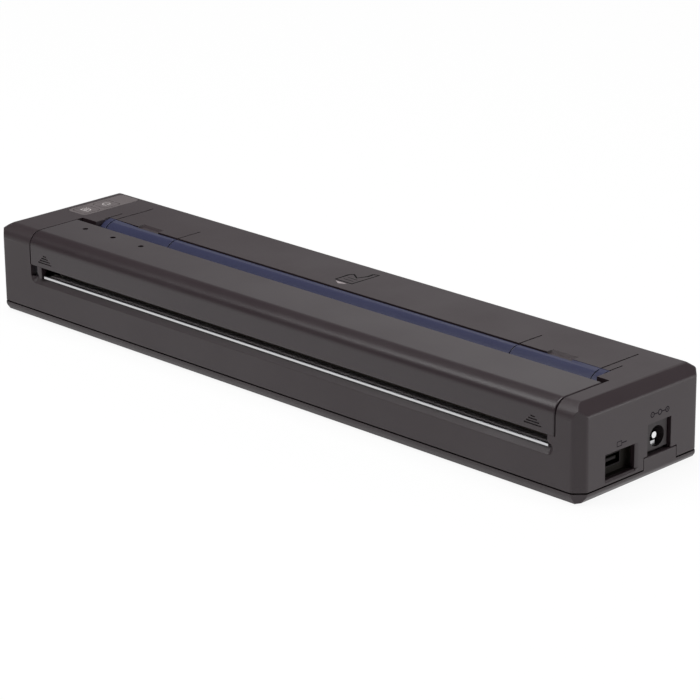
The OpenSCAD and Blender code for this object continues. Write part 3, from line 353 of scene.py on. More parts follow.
def round_outside(piece: Piece, width: float, side: Test = lambda place: True) -> Piece:
    """Rounds the outer edges of a shell and leaves its seams and openings alone.

    Args:
        piece: The shell.
        width: Width of the rounding.
        side: Called with the middle of an edge, to keep the rounding to one side.

    Returns:
        The same object.
    """
    corners = [vertex.co.copy() for vertex in piece.data.vertices]
    known: dict[tuple, float] = {}

    def outside(face: bmesh.types.BMFace) -> bool:
        """Tells whether a face is on the convex outside and isn't the underside.

        Args:
            face: The face.

        Returns:
            True where it is.
        """
        key = tuple(round(value, 3) for value in face.normal)
        if key not in known:
            known[key] = max(corner.dot(face.normal) for corner in corners)
        reach = face.verts[0].co.dot(face.normal)
        return face.normal.z > UNDERSIDE and reach > known[key] - ON_PLANE

    def outer(edge: bmesh.types.BMEdge) -> bool:
        """Tells whether an edge is a sharp outside edge on the chosen side."""
        return (len(edge.link_faces) == 2
                and edge.calc_face_angle(0.0) > math.radians(OUTER_ANGLE)
                and all(outside(face) for face in edge.link_faces)
                and side((edge.verts[0].co + edge.verts[1].co) / 2))

    with editing(piece):
        if select_where(piece, "edges", outer):
            bpy.ops.mesh.bevel(offset=width, offset_type="OFFSET", segments=4, profile=0.5,
                               affect="EDGES", clamp_overlap=False)
    return piece


def rowed(piece: Piece, count: int, step: Sequence[float]) -> Piece:
    """Repeats a piece in a row, each copy with its own faces and a step from the last."""
    return modified(piece, "ARRAY", count=count, use_relative_offset=False,
                    use_constant_offset=True, constant_offset_displace=Vector(step))


def joined(name: str, pieces: Iterable[Piece]) -> Piece:
    """Joins several objects into one.

    Args:
        name: Name of the joined object.
        pieces: The objects to join.

    Returns:
        The joined object.
    """
    members = list(pieces)
    activate(members[0])
    for member in members[1:]:
        member.select_set(True)
    if len(members) > 1:
        bpy.ops.object.join()
    members[0].name = name
    return members[0]


def node_copy(name: str, node: str) -> Piece:
    """Copies a CAD node's mesh into a new object with merged corners and whole faces.

    Args:
        name: Name of the new object.
        node: Name of the CAD node.

    Returns:
        The new object.
    """
    mesh = bpy.data.objects[node].data.copy()
    mesh.materials.clear()
    piece = bpy.data.objects.new(name, mesh)
    bpy.context.scene.collection.objects.link(piece)
    activate(piece)
    bpy.ops.mesh.customdata_custom_splitnormals_clear()
    with editing(piece):
        bpy.ops.mesh.remove_doubles(threshold=MERGED)
        bpy.ops.mesh.dissolve_limited(angle_limit=math.radians(FLAT_ANGLE))
        bpy.ops.mesh.normals_make_consistent(inside=False)
    return piece


# Lines on faces


def arc(middle: Spot, radius: float, start: float, sweep: float, steps: int) -> list[Spot]:
    """Points along an arc on a face, in millimetres.

    Args:
        middle: Centre of the arc.
        radius: Its radius.
        start: First angle in degrees.
        sweep: Angle that the arc covers, in degrees.
        steps: Number of straight pieces.

    Returns:
        The points in order.
    """
    angles = [math.radians(start + sweep * index / steps) for index in range(steps + 1)]
    return [(middle[0] + radius * math.cos(angle), middle[1] + radius * math.sin(angle))
            for angle in angles]


def stroke(name: str, points: Sequence[Vector], width: float, proud: float, normal: Axis) -> Piece:
    """Draws a low rounded line through some points of a face.

    Args:
        name: Name of the new object.
        points: Points on the face; the line is closed where the last one is the first.
        width: Width of the line.
        proud: How far the line stands out of the face.
        normal: Axis that the face looks along.

    Returns:
        The new object.
    """
    line = added(name, bpy.ops.mesh.primitive_plane_add, size=width, location=points[0])
    with editing(line):
        bpy.ops.mesh.select_mode(type="VERT")
        bpy.ops.mesh.merge(type="CENTER")
        for start, end in zip(points[:-1], points[1:]):
            bpy.ops.mesh.extrude_region_move(TRANSFORM_OT_translate={"value": end - start})
        bpy.ops.mesh.select_all(action="SELECT")
        bpy.ops.mesh.remove_doubles(threshold=CLOSED)
    bpy.ops.object.convert(target="CURVE")
    line.data.bevel_depth = width / 2
    line.data.bevel_resolution = 1
    line.data.use_fill_caps = True
    bpy.ops.object.convert(target="MESH")
    squash = [proud / (width / 2) if share else 1.0 for share in normal.value]
    with editing(line):
        bpy.ops.transform.resize(value=squash, center_override=points[0])
    return line


def drawn(name: str, origin: Vector, lines: Sequence[tuple[Sequence[Spot], float]], proud: float,
          normal: Axis = Axis.Z) -> Piece:
    """Draws several lines on a face as one object.

    Args:
        name: Name of the new object.
        origin: Point of the face that the lines are measured from.
        lines: The points of each line and its width, all in millimetres.
        proud: How far the lines stand out of the face.
        normal: Axis that the face looks along.

    Returns:
        The new object.
    """
    across, along = normal.plane
    return joined(name, [stroke(name, [origin + (across * first + along * second) * MM
                                       for first, second in points], width * MM, proud, normal)
                         for points, width in lines])


# Finishes


def feed(tree: Tree, node: bpy.types.Node, inputs: dict[int | str, Any]) -> None:
    """Sets the inputs of a node.

    Args:
        tree: The tree that holds the node.
        node: The node.
        inputs: For each input, its value or the socket that feeds it.
    """
    for key, value in inputs.items():
        if isinstance(value, Socket):
            tree.links.new(value, node.inputs[key])
        else:
            node.inputs[key].default_value = value


def wired(tree: Tree, kind: str, inputs: dict[int | str, Any], output: int | str = 0,
          **settings: Any) -> Socket:
    """Adds a shader node to a tree.

    Args:
        tree: The tree to add to.
        kind: The node's type name, without its usual start.
        inputs: For each input, its value or the socket that feeds it.
        output: The output that is wanted.
        **settings: Settings of the node itself.

    Returns:
        The output.
    """
    node = tree.nodes.new("ShaderNode" + kind)
    for name, value in settings.items():
        setattr(node, name, value)
    feed(tree, node, inputs)
    return node.outputs[output]


def moulded_grain(tree: Tree, given: bpy.types.NodeOutputs) -> tuple[Socket, Socket, Socket]:
    """Makes a fine grain whose roughness varies broadly over the surface.

    Args:
        tree: The group to build in.
        given: What the group is given.

    Returns:
        The height, the roughness and the tone.
    """
    fine = wired(tree, "TexNoise", {"Vector": given["Vector"], "Scale": given["Scale"],
                                    "Detail": 2.0})
    broad = wired(tree, "TexNoise", {"Vector": given["Vector"], "Scale": 38.0, "Detail": 4.0})
    rough = wired(tree, "MapRange", {"Value": broad, "From Min": 0.3, "From Max": 0.7,
                                     "To Min": given["Rough Low"], "To Max": given["Rough High"]})
    centred = wired(tree, "Math", {0: fine, 1: 0.5}, operation="SUBTRACT")
    shade = wired(tree, "Math", {0: centred, 1: given["Tone"], 2: 1.0}, operation="MULTIPLY_ADD")
    return fine, rough, shade


def drawn_lines(tree: Tree, given: bpy.types.NodeOutputs) -> tuple[Socket, Socket, Socket]:
    """Makes the fine lines along X of drawn metal.

    Args:
        tree: The group to build in.
        given: What the group is given.

    Returns:
        The height, the roughness and the tone.
    """
    place = wired(tree, "Mapping", {"Vector": given["Vector"], "Scale": (0.02, 1.0, 1.0)})
    lines = wired(tree, "TexNoise", {"Vector": place, "Scale": given["Scale"], "Detail": 3.0})
    rough = wired(tree, "MapRange", {"Value": lines, "To Min": given["Rough Low"],
                                     "To Max": given["Rough High"]})
    shade = wired(tree, "MapRange", {"Value": lines, "To Min": 0.85, "To Max": 1.1})
    return lines, rough, shade


def board_tracks(tree: Tree, given: bpy.types.NodeOutputs) -> tuple[Socket, Socket, Socket]:
    """Makes raised, smoother and paler tracks that jog from lane to lane.

    Args:
        tree: The group to build in.
        given: What the group is given.

    Returns:
        The height, the roughness and the tone.
    """
    lanes = wired(tree, "TexVoronoi", {"Vector": given["Vector"], "Scale": given["Scale"]},
                  distance="CHEBYCHEV")
    wave = wired(tree, "Math", {0: lanes, 1: 0.09}, operation="PINGPONG")
    track = wired(tree, "MapRange", {"Value": wave, "From Min": 0.04, "From Max": 0.05})
    rough = wired(tree, "MapRange", {"Value": track, "To Min": given["Rough High"],
                                     "To Max": given["Rough Low"]})
    shade = wired(tree, "MapRange", {"Value": track, "To Min": 0.8, "To Max": 1.5})
    return track, rough, shade


class Surface(Enum):
    """The shared effects that a finish can be made with, each with the name of its group."""

    MOULDED = ("Moulded grain", moulded_grain)
    DRAWN = ("Drawn metal", drawn_lines)
    TRACKS = ("Board tracks", board_tracks)

    def group(self) -> Tree:
        """Builds the shared node group of this effect, or returns it if it is there already.

        Returns:
            The group.
        """
        name, effect = self.value
        if name in bpy.data.node_groups:
            return bpy.data.node_groups[name]
        tree = bpy.data.node_groups.new(name, "ShaderNodeTree")
        new_socket = tree.interface.new_socket
        new_socket(name="Vector", in_out="INPUT", socket_type="NodeSocketVector")
        for way, labels in (("INPUT", ("Scale", "Rough Low", "Rough High", "Tone")),
                            ("OUTPUT", ("Height", "Roughness", "Shade"))):
            for label in labels:
                new_socket(name=label, in_out=way, socket_type="NodeSocketFloat")
        given = tree.nodes.new("NodeGroupInput").outputs
        feed(tree, tree.nodes.new("NodeGroupOutput"), dict(enumerate(effect(tree, given))))
        return tree


@dataclass(frozen=True)
class Finish:
    """One surface finish.

    Attributes:
        name: Name of the material.
        slot: Material slot of the record that it stands for; not used.
        colour: Screen colour, 0 to 255.
        surface: The shared effect that roughens it.
        rough: Lowest and highest roughness.
        grain: Scale of the effect, per metre.
        depth: Height of the grain in millimetres.
        tone: How much the colour of a moulded surface varies with its grain.
        metallic: 1 for metals.
        specular: Specular level of the shader.
    """

    name: str
    slot: str
    colour: Triple
    surface: Surface = Surface.MOULDED
    rough: Spot = (0.36, 0.44)
    grain: float = 2600.0
    depth: float = 0.012
    tone: float = 0.08
    metallic: float = 0.0
    specular: float = 0.5

    def material(self) -> bpy.types.Material:
        """Builds the material, or returns it if it is there already.

        Returns:
            The material.
        """
        if self.name in bpy.data.materials:
            return bpy.data.materials[self.name]
        material = bpy.data.materials.new(self.name)
        material.use_nodes = True
        tree = material.node_tree
        effect = tree.nodes.new("ShaderNodeGroup")
        effect.node_tree = self.surface.group()
        feed(tree, effect, {"Vector": wired(tree, "TexCoord", {}, "Object"), "Scale": self.grain,
                            "Rough Low": self.rough[0], "Rough High": self.rough[1],
                            "Tone": self.tone})
        made = effect.outputs
        tint = wired(tree, "VectorMath", {0: linear(self.colour)[:3], "Scale": made["Shade"]},
                     operation="SCALE")
        bump = wired(tree, "Bump", {"Strength": 1.0, "Distance": self.depth * MM,
                                    "Height": made["Height"]})
        feed(tree, tree.nodes["Principled BSDF"],
             {"Base Color": tint, "Roughness": made["Roughness"], "Normal": bump,
              "Metallic": self.metallic, "Specular IOR Level": self.specular})
        return material


metal = partial(Finish, surface=Surface.DRAWN, metallic=1.0)

CASE = Finish("satin charcoal case", "case_plastic", (44, 33, 37), rough=(0.4, 0.48))
COVER = Finish("satin charcoal cover", "cover_plastic", (44, 34, 38), rough=(0.3, 0.36))
RAMP = Finish("deep blue ramp", "ramp_plastic", (50, 52, 78), rough=(0.32, 0.4), tone=0.05,
              specular=0.26)
PANEL = Finish("grey key panel", "panel_plastic", (91, 83, 84), rough=(0.4, 0.5))
# Painted light: the exit guide is coloured far paler than its plastic, so that it looks lit inside
# the shaded exit slot.
LIT_GUIDE = Finish("guide plastic with painted light", "inner_plastic", (134, 128, 129), rough=(0.4, 0.5))
# Painted shade: the socket shell's tin plate is coloured nearly black for the shade inside the
# port recess.
SHADED_TIN = metal("dulled tin plate", "bright_steel", (44, 41, 42), rough=(0.35, 0.5))
# Painted shade: the recess liner is darker and less shiny than the case plastic, for the shade
# deep in the port recess.
SHADED_RECESS = Finish("recess plastic with painted shade", "inner_plastic", (24, 21, 17), rough=(0.55, 0.65), specular=0.15)
JACK = Finish("inlet body", "component_black", (42, 36, 38), rough=(0.45, 0.55), specular=0.35)
FADED = Finish("worn print", "panel_plastic", (205, 199, 198), rough=(0.45, 0.55))
INNER = Finish("matt black plastic", "inner_plastic", (24, 23, 24), rough=(0.5, 0.6))
GEAR = Finish("natural acetal", "gear_plastic", (226, 222, 208), rough=(0.35, 0.45))
BOARD = Finish("green solder mask", "board_green", (20, 84, 48), rough=(0.25, 0.35))
CHIP = Finish("moulded component", "component_black", (30, 30, 32), rough=(0.5, 0.6))
NYLON = Finish("white nylon", "connector_white", (224, 220, 206), rough=(0.4, 0.5))
STEEL = metal("rolled steel", "steel", (176, 178, 182), rough=(0.28, 0.42))
BRIGHT = metal("polished steel", "bright_steel", (232, 232, 234), rough=(0.1, 0.2), depth=0.003)
SATIN = metal("satin steel", "bright_steel", (202, 202, 204), rough=(0.25, 0.35), depth=0.003)
ALUMINIUM = metal("extruded aluminium", "aluminium", (200, 202, 206), rough=(0.3, 0.45))
BRASS = metal("turned brass", "brass", (214, 176, 104), rough=(0.2, 0.32))
GOLD = metal("gold contact", "bright_steel", (232, 196, 112), rough=(0.15, 0.25))
CERAMIC = Finish("glazed ceramic", "ceramic", (222, 216, 202), rough=(0.15, 0.22), tone=0.03)
RUBBER = Finish("ground rubber", "rubber", (34, 34, 35), rough=(0.6, 0.75), grain=1900.0,
                depth=0.03)
FILM = Finish("amber film", "polyimide", (176, 112, 34), rough=(0.18, 0.26), tone=0.04)
SLEEVE = Finish("blue shrink sleeve", "pack_sleeve", (34, 52, 132), rough=(0.2, 0.3), grain=700.0,
                depth=0.05)
GLAZE = Finish("heater glaze", "ceramic", (120, 96, 78), rough=(0.08, 0.12), tone=0.02)
TRACKS = Finish("tracked solder mask", "board_green", (20, 84, 48), Surface.TRACKS, (0.22, 0.32),
                grain=160.0, depth=0.03)
# Painted highlight: the pale arrow stands for the bright glint on the engraved pictogram of the
# rear top.
ENGRAVING_HIGHLIGHT = Finish("painted engraving highlight", "panel_plastic", (158, 148, 150), rough=(0.45, 0.55))
SMOKED = Finish("smoked lens", "light_lens", (26, 25, 26), rough=(0.1, 0.16), tone=0.02)
FAINT = Finish("faint print", "case_plastic", (36, 31, 36), rough=(0.6, 0.7), specular=0.05)
# Painted shade: the dark lines stand for the shade inside the engraved lines of the rear-top
# pictogram.
ENGRAVING_SHADE = Finish("painted engraving shade", "case_plastic", (12, 11, 12), rough=(0.6, 0.7), specular=0.05)

# CAD nodes that stay as they are and get a finish alone
KEPT_NODES = {
    "button_board": BOARD, "led_board": BOARD, "paper_sensor": CHIP, "motor_cable": NYLON}


def settle(piece: Piece, finish: Finish, body: str, *nodes: str,
           angle: float = SHARP_ANGLE) -> Piece:
    """Smooths a finished piece, gives it its material and lets it ride on its body.

    Args:
        piece: The finished piece.
        finish: Its finish.
        body: Name of the CAD body that it moves with.
        *nodes: CAD nodes that it stands for.
        angle: Edges sharper than this stay sharp, in degrees.

    Returns:
        The same object.
    """
    activate(piece)
    bpy.ops.object.shade_smooth_by_angle(angle=math.radians(angle))
    modified(piece, "WEIGHTED_NORMAL", keep_sharp=True, weight=NORMAL_WEIGHT)
    piece.data.materials.append(finish.material())
    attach(piece, body)
    if nodes:
        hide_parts(*nodes)
    LOG.info("%s rides on %s with %d faces", piece.name, body, len(piece.data.polygons))
    return piece


def dress_node(node: str, finish: Finish) -> None:
    """Gives a CAD node a better material.

    Args:
        node: Name of the node.
        finish: Its finish.
    """
    piece = bpy.data.objects[node]
    if not piece.material_slots:
        piece.data.materials.append(finish.material())
    for slot in piece.material_slots:
        slot.material = finish.material()


# Sub-assemblies


@dataclass(frozen=True)
class Remake:
    """A CAD node made again with rounded edges.

    Attributes:
        name: Name of the piece.
        node: The CAD node.
        edge: Width of the rounding in millimetres.
        finish: Its finish.
        body: CAD body that it moves with.
        segments: Number of strips in the rounding.
    """

    name: str
    node: str
    edge: float
    finish: Finish
    body: str = "housing"
    segments: int = 2

    def build(self) -> None:
        """Builds the piece, which stands for its node."""
        piece = bevelled(node_copy(self.name, self.node), self.edge * MM, self.segments)
        settle(piece, self.finish, self.body, self.node)


@dataclass(frozen=True)
class Trim(Remake):
    """A small block on a CAD node, which stays, alone or in a row.

    Attributes:
        low: Lowest corner, as block takes it.
        high: Highest corner, as block takes it.
        count: How many there are in the row.
        step: Distance from one to the next, in millimetres.
    """

    low: Anchors = ()
    high: Anchors = ()
    count: int = 1
    step: Triple = (0, 0, 0)

    def build(self) -> None:
        """Builds the row."""
        piece = bevelled(block(self.name, self.node, self.low, self.high), self.edge * MM,
                         self.segments)
        settle(rowed(piece, self.count, Vector(self.step) * MM), self.finish, self.body)


@dataclass
class Assembly:
    """A sub-assembly: a table of plain pieces, and the details that the table can't hold."""

    pieces: ClassVar[tuple[Remake | Trim, ...]] = ()

    def details(self) -> None:
        """Builds nothing, unless a sub-assembly has details of its own."""

    def build(self) -> None:
        """Builds the plain pieces and the details."""
        for piece in self.pieces:
            piece.build()
        self.details()


@dataclass
class UpperCase(Assembly):
    """The upper case, its seams softened the way a moulding comes out of its tool."""

    outer_edge: float = 0.7 * MM
    fine_edge: float = 0.08 * MM
    corner_zone: float = 6 * MM
    seam: float = 0.13 * MM
    sharp: float = 26.0

    def details(self) -> None:
        """Builds the shell; its round front top keeps a crisp line against the end faces."""
        low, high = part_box("body_shell")
        shell = nudged(node_copy("upper_case", "body_shell"),
                       lambda at: at.z - low.z < ON_PLANE, (0, 0, self.seam))
        front, top = low.y + self.corner_zone, high.z - self.corner_zone
        round_outside(shell, self.outer_edge, lambda at: not (at.y < front and at.z > top))
        settle(bevelled(shell, self.fine_edge), CASE, "housing", "body_shell", angle=self.sharp)


@dataclass
class LowerCase(Assembly):
    """The base tray with its feet."""

    outer_edge: float = 0.6 * MM
    fine_edge: float = 0.2 * MM
    seam: float = 0.13 * MM
    overlap: float = 0.2 * MM
    corner_cut: float = 1.8 * MM
    end_taper: float = 0.8 * MM
    front_drop: float = 0.3 * MM
    near: float = 1 * MM
    far: float = 4 * MM
    foot_radius: float = 4.5 * MM
    foot_sides: int = 64
    foot_ring: float = 0.9 * MM
    foot_edge: float = 0.15 * MM
    groove: float = 0.01 * MM
    recess: float = 0.12 * MM

    def tray(self) -> None:
        """Builds the tray, its rim a hair lower and its lower corners trued to the photograph."""
        low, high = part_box("base_tray")
        near, far = self.near, self.far
        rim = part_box("body_shell")[0].z - self.overlap
        tray = nudged(node_copy("lower_case", "base_tray"), lambda at: abs(at.z - rim) < ON_PLANE,
                      (0, 0, -self.seam))
        for test, shift in (
                (lambda at: at.x - low.x < near and at.y - low.y < far, (0, self.corner_cut, 0)),
                (lambda at: at.y - low.y < near and at.x - low.x < far, (self.corner_cut, 0, 0)),
                (lambda at: high.x - at.x < near, (-self.end_taper, 0, 0))):
            nudged(tray, lambda at: at.z < low.z + AT_END and test(at), shift)
        round_outside(tray, self.outer_edge)
        nudged(tray, lambda at: at.z - low.z < near and at.y - low.y < far
               and high.x - at.x < far, (0, 0, -self.front_drop))
        settle(bevelled(tray, self.fine_edge), CASE, "housing", "base_tray")

    def feet(self) -> None:
        """Builds the four rubber feet, each with a ring pressed into its face."""
        low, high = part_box("rubber_feet")
        radius = self.foot_radius
        feet = rod("feet", (low.x + radius, low.y + radius, low.z), Axis.Z, high.z - low.z,
                   radius, self.foot_sides)
        dished(feet, -Axis.Z.vector, (self.foot_ring, 0.0), (self.groove, -self.recess))
        bevelled(feet, self.foot_edge, 3)
        rowed(feet, 2, (high.x - low.x - 2 * radius, 0, 0))
        rowed(feet, 2, (0, high.y - low.y - 2 * radius, 0))
        settle(feet, RUBBER, "housing", "rubber_feet")

    def details(self) -> None:
        """Builds the tray and the feet."""
        self.tray()
        self.feet()


@dataclass
class Cover(Assembly):
    """The lifting cover with its ribs and status lights."""

    outer_edge: float = 0.5 * MM
    fine_edge: float = 0.08 * MM
    left_play: float = 0.12 * MM
    right_play: float = 0.25 * MM
    rib_low: Anchors = ((0, 12.0), (0, 3.4), (1, -2.6))
    rib_high: Anchors = ((0, 12.7), (0, 5.6), (1, -1.75))
    rib_inset: float = 12 * MM
    rib_edge: float = 0.1 * MM
    ribs: int = 15
    lights: int = 3
    lens_dome: float = 0.3 * MM
    lens_sides: int = 40
    diode: Triple = (0.5 * MM, 0.25 * MM, 0.25 * MM)
    diode_edge: float = 0.05 * MM

    def skin(self) -> None:
        """Builds the cover skin, set a hair to the left, as it hangs in the photograph."""
        low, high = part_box("release_cover")
        skin = nudged(node_copy("cover_skin", "release_cover"),
                      lambda at: at.x - low.x < AT_END, (-self.left_play, 0, 0))
        nudged(skin, lambda at: high.x - at.x < AT_END, (-self.right_play, 0, 0))
        round_outside(skin, self.outer_edge)
        settle(bevelled(skin, self.fine_edge), COVER, "cover", "release_cover")

    def inner_ribs(self) -> None:
        """Adds the low stiffening ribs under the front of the cover."""
        low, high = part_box("release_cover")
        rib = bevelled(block("cover_ribs", "release_cover", self.rib_low, self.rib_high),
                       self.rib_edge)
        step = (high.x - low.x - 2 * self.rib_inset) / (self.ribs - 1)
        settle(rowed(rib, self.ribs, (step, 0, 0)), COVER, "cover")

    def status_lights(self) -> None:
        """Builds the three domed lenses and the small diodes below them."""
        low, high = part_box("led_lenses")
        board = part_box("led_board")[0].z
        radius, middle = (high.y - low.y) / 2, (low.y + high.y) / 2
        row = (self.lights, ((high.x - low.x - 2 * radius) / (self.lights - 1), 0, 0))
        lens = rod("status_lens", (low.x + radius, middle, low.z), Axis.Z, high.z - low.z,
                   radius, self.lens_sides)
        settle(rowed(bevelled(lens, self.lens_dome, 4), *row), SMOKED, "cover", "led_lenses")
        half_x, half_y, height = self.diode
        diode = box("status_diodes", (low.x + radius - half_x, middle - half_y, board - height),
                    (low.x + radius + half_x, middle + half_y, board))
        settle(rowed(bevelled(diode, self.diode_edge), *row), NYLON, "cover")

    def details(self) -> None:
        """Builds the skin, the ribs and the lights."""
        self.skin()
        self.inner_ribs()
        self.status_lights()


@dataclass
class PaperPath(Assembly):
    """The blue ramp, the guides, the exit guide paled as painted light, and the bright bar below
    the exit slot.
    """

    pieces = (
        Remake("cutting_bar", "tear_bar", 0.06, SATIN),
        Remake("lead_in_guide", "paper_guide", 0.2, INNER),
        # Painted light: the exit guide bar and its ribs take the paled guide colour.
        Remake("exit_rib_bar", "exit_guide", 0.25, LIT_GUIDE, segments=3),
        Trim("exit_ribs", "exit_guide", 0.08, LIT_GUIDE, low=((0, 4), (0, 0.3), (1, -0.1)),
             high=((0, 4.8), (1, -0.3), (1, 0.12)), count=36, step=(6, 0, 0)))
    ramp_edge: float = 0.12 * MM
    ramp_ends: Spot = (13.5 * MM, 15 * MM)
    ramp_lip: float = 1 * MM
    ramp_play: Triple = (0, 0.12 * MM, 0.3 * MM)
    tooth_pitch: float = 0.7 * MM
    tooth_margin: float = 1.0 * MM
    tooth_low: Anchors = ((0, 0.3), (0, 0.1), (1, -0.05))
    tooth_high: Anchors = ((0, 0.72), (0, 0.5), (1, 0.08))
    tooth_point: Triple = (0.2, 0.6, 1.0)

    def ramp(self) -> None:
        """Builds the blue ramp, the rear lip of both ends level with the case."""
        low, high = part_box("inlet_ramp")
        left, right = low.x + self.ramp_ends[0], high.x - self.ramp_ends[1]
        ramp = nudged(node_copy("blue_ramp", "inlet_ramp"),
                      lambda at: not left <= at.x <= right and high.y - at.y < ON_PLANE
                      and at.z > high.z - self.ramp_lip, self.ramp_play)
        settle(bevelled(ramp, self.ramp_edge), RAMP, "housing", "inlet_ramp")

    def teeth(self) -> None:
        """Builds the fine teeth of the bar, each narrowed at its top."""
        low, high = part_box("tear_bar")
        teeth = block("bar_teeth", "tear_bar", self.tooth_low, self.tooth_high)
        with editing(teeth):
            select_where(teeth, "faces", lambda face: face.normal.z > FACING)
            bpy.ops.transform.resize(value=self.tooth_point)
        count = int((high.x - low.x - self.tooth_margin) / self.tooth_pitch)
        settle(rowed(teeth, count, (self.tooth_pitch, 0, 0)), SATIN, "housing")

    def details(self) -> None:
        """Builds the ramp and the teeth."""
        self.ramp()
        self.teeth()


@dataclass
class Keys(Assembly):
    """The grey key panel with both keys, their icons and switches."""

    pieces = (
        Remake("key_plate", "key_panel", 0.05, PANEL),
        Remake("power_cap", "power_key", 0.05, PANEL, "power_button"),
        Remake("feed_cap", "feed_key", 0.05, PANEL, "feed_button"),
        Remake("switch_bodies", "key_switches", 0.2, CHIP))
    ink: float = 0.02 * MM
    line: float = 0.27
    power: tuple = (arc((0.0, 0.0), 1.3, 35.0, 290.0, 28), ((1.7, 0.0), (0.3, 0.0)))
    sheet: tuple = (
        ((-1.6, -1.25), (1.6, -1.25), (1.6, 0.375), (0.64, 1.25), (-1.6, 1.25), (-1.6, -1.25)),
        ((-0.8, -0.4375), (0.72, -0.4375)), ((-0.8, 0.375), (0.72, 0.375)))
    leg: Triple = (0.5, 0.6, 0.5)
    leg_edge: float = 0.1 * MM
    legs_x: tuple[Spot, ...] = ((0, -0.5), (1, 0.0))
    legs_y: tuple[Spot, ...] = ((0, 0.5), (0, 3.3), (1, -3.9), (1, -1.1))

    def icon(self, name: str, node: str, body: str, lines: Sequence[Sequence[Spot]]) -> None:
        """Prints an icon on a key.

        Args:
            name: Name of the piece.
            node: CAD node of the key.
            body: CAD body of the key.
            lines: Its lines, in millimetres from the middle of the key.
        """
        middle = middle_of(node)
        middle.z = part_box(node)[1].z
        settle(drawn(name, middle, [(line, self.line) for line in lines], self.ink), FADED, body)

    def legs(self) -> None:
        """Builds the legs of both push switches."""
        wide, deep, high = self.leg
        legs = [bevelled(block("switch_leg", "key_switches", ((end, x), (side, y), (0, 0)),
                               ((end, x + wide), (side, y + deep), (0, high))), self.leg_edge)
                for end, x in self.legs_x for side, y in self.legs_y]
        settle(joined("switch_legs", legs), BRIGHT, "housing")

    def details(self) -> None:
        """Prints both icons and builds the legs."""
        self.icon("power_icon", "power_key", "power_button", self.power)
        self.icon("feed_icon", "feed_key", "feed_button", self.sheet)
        self.legs()


@dataclass
class TopMarks(Assembly):
    """The rear-top pictogram: a sheet with a curled corner in painted shade of its engraving, and
    the arrow of its way in as a painted highlight.
    """

    proud: float = 0.012 * MM
    sheet: tuple = (
        (((-3.6, 13.3), (-3.6, 7.2), (3.5, 7.2), (3.9, 19.0), (1.9, 18.4)), 0.8),
        (((-3.6, 13.3), (-2.6, 14.4), (0.6, 12.4), (2.1, 15.9), (1.9, 18.4)), 0.8),
        (((-2.0, 9.2), (2.2, 9.2)), 0.3), (((-2.0, 11.0), (2.2, 11.0)), 0.3))
    arrow_y: float = 5.7 * MM
    arrow_radius: float = 0.95 * MM
    arrow_form: Triple = (3.1, -1.0, 1.0)

    def details(self) -> None:
        """Draws the sheet in painted shade and the arrow, which points forward, as a painted
        highlight.
        """
        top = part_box("body_shell")[1].z
        settle(drawn("sheet_pictogram", Vector((0, 0, top)), self.sheet, self.proud), ENGRAVING_SHADE,
               "housing")
        place = Vector((0, self.arrow_y, top))
        arrow = added("feed_arrow", bpy.ops.mesh.primitive_circle_add, vertices=3,
                      radius=self.arrow_radius, fill_type="NGON", location=place)
        with editing(arrow):
            bpy.ops.transform.resize(value=self.arrow_form, center_override=place)
            bpy.ops.mesh.extrude_region_move(TRANSFORM_OT_translate={"value": (0, 0, self.proud)})
            bpy.ops.mesh.select_all(action="SELECT")
            bpy.ops.mesh.normals_make_consistent(inside=False)
        settle(arrow, ENGRAVING_HIGHLIGHT, "housing")


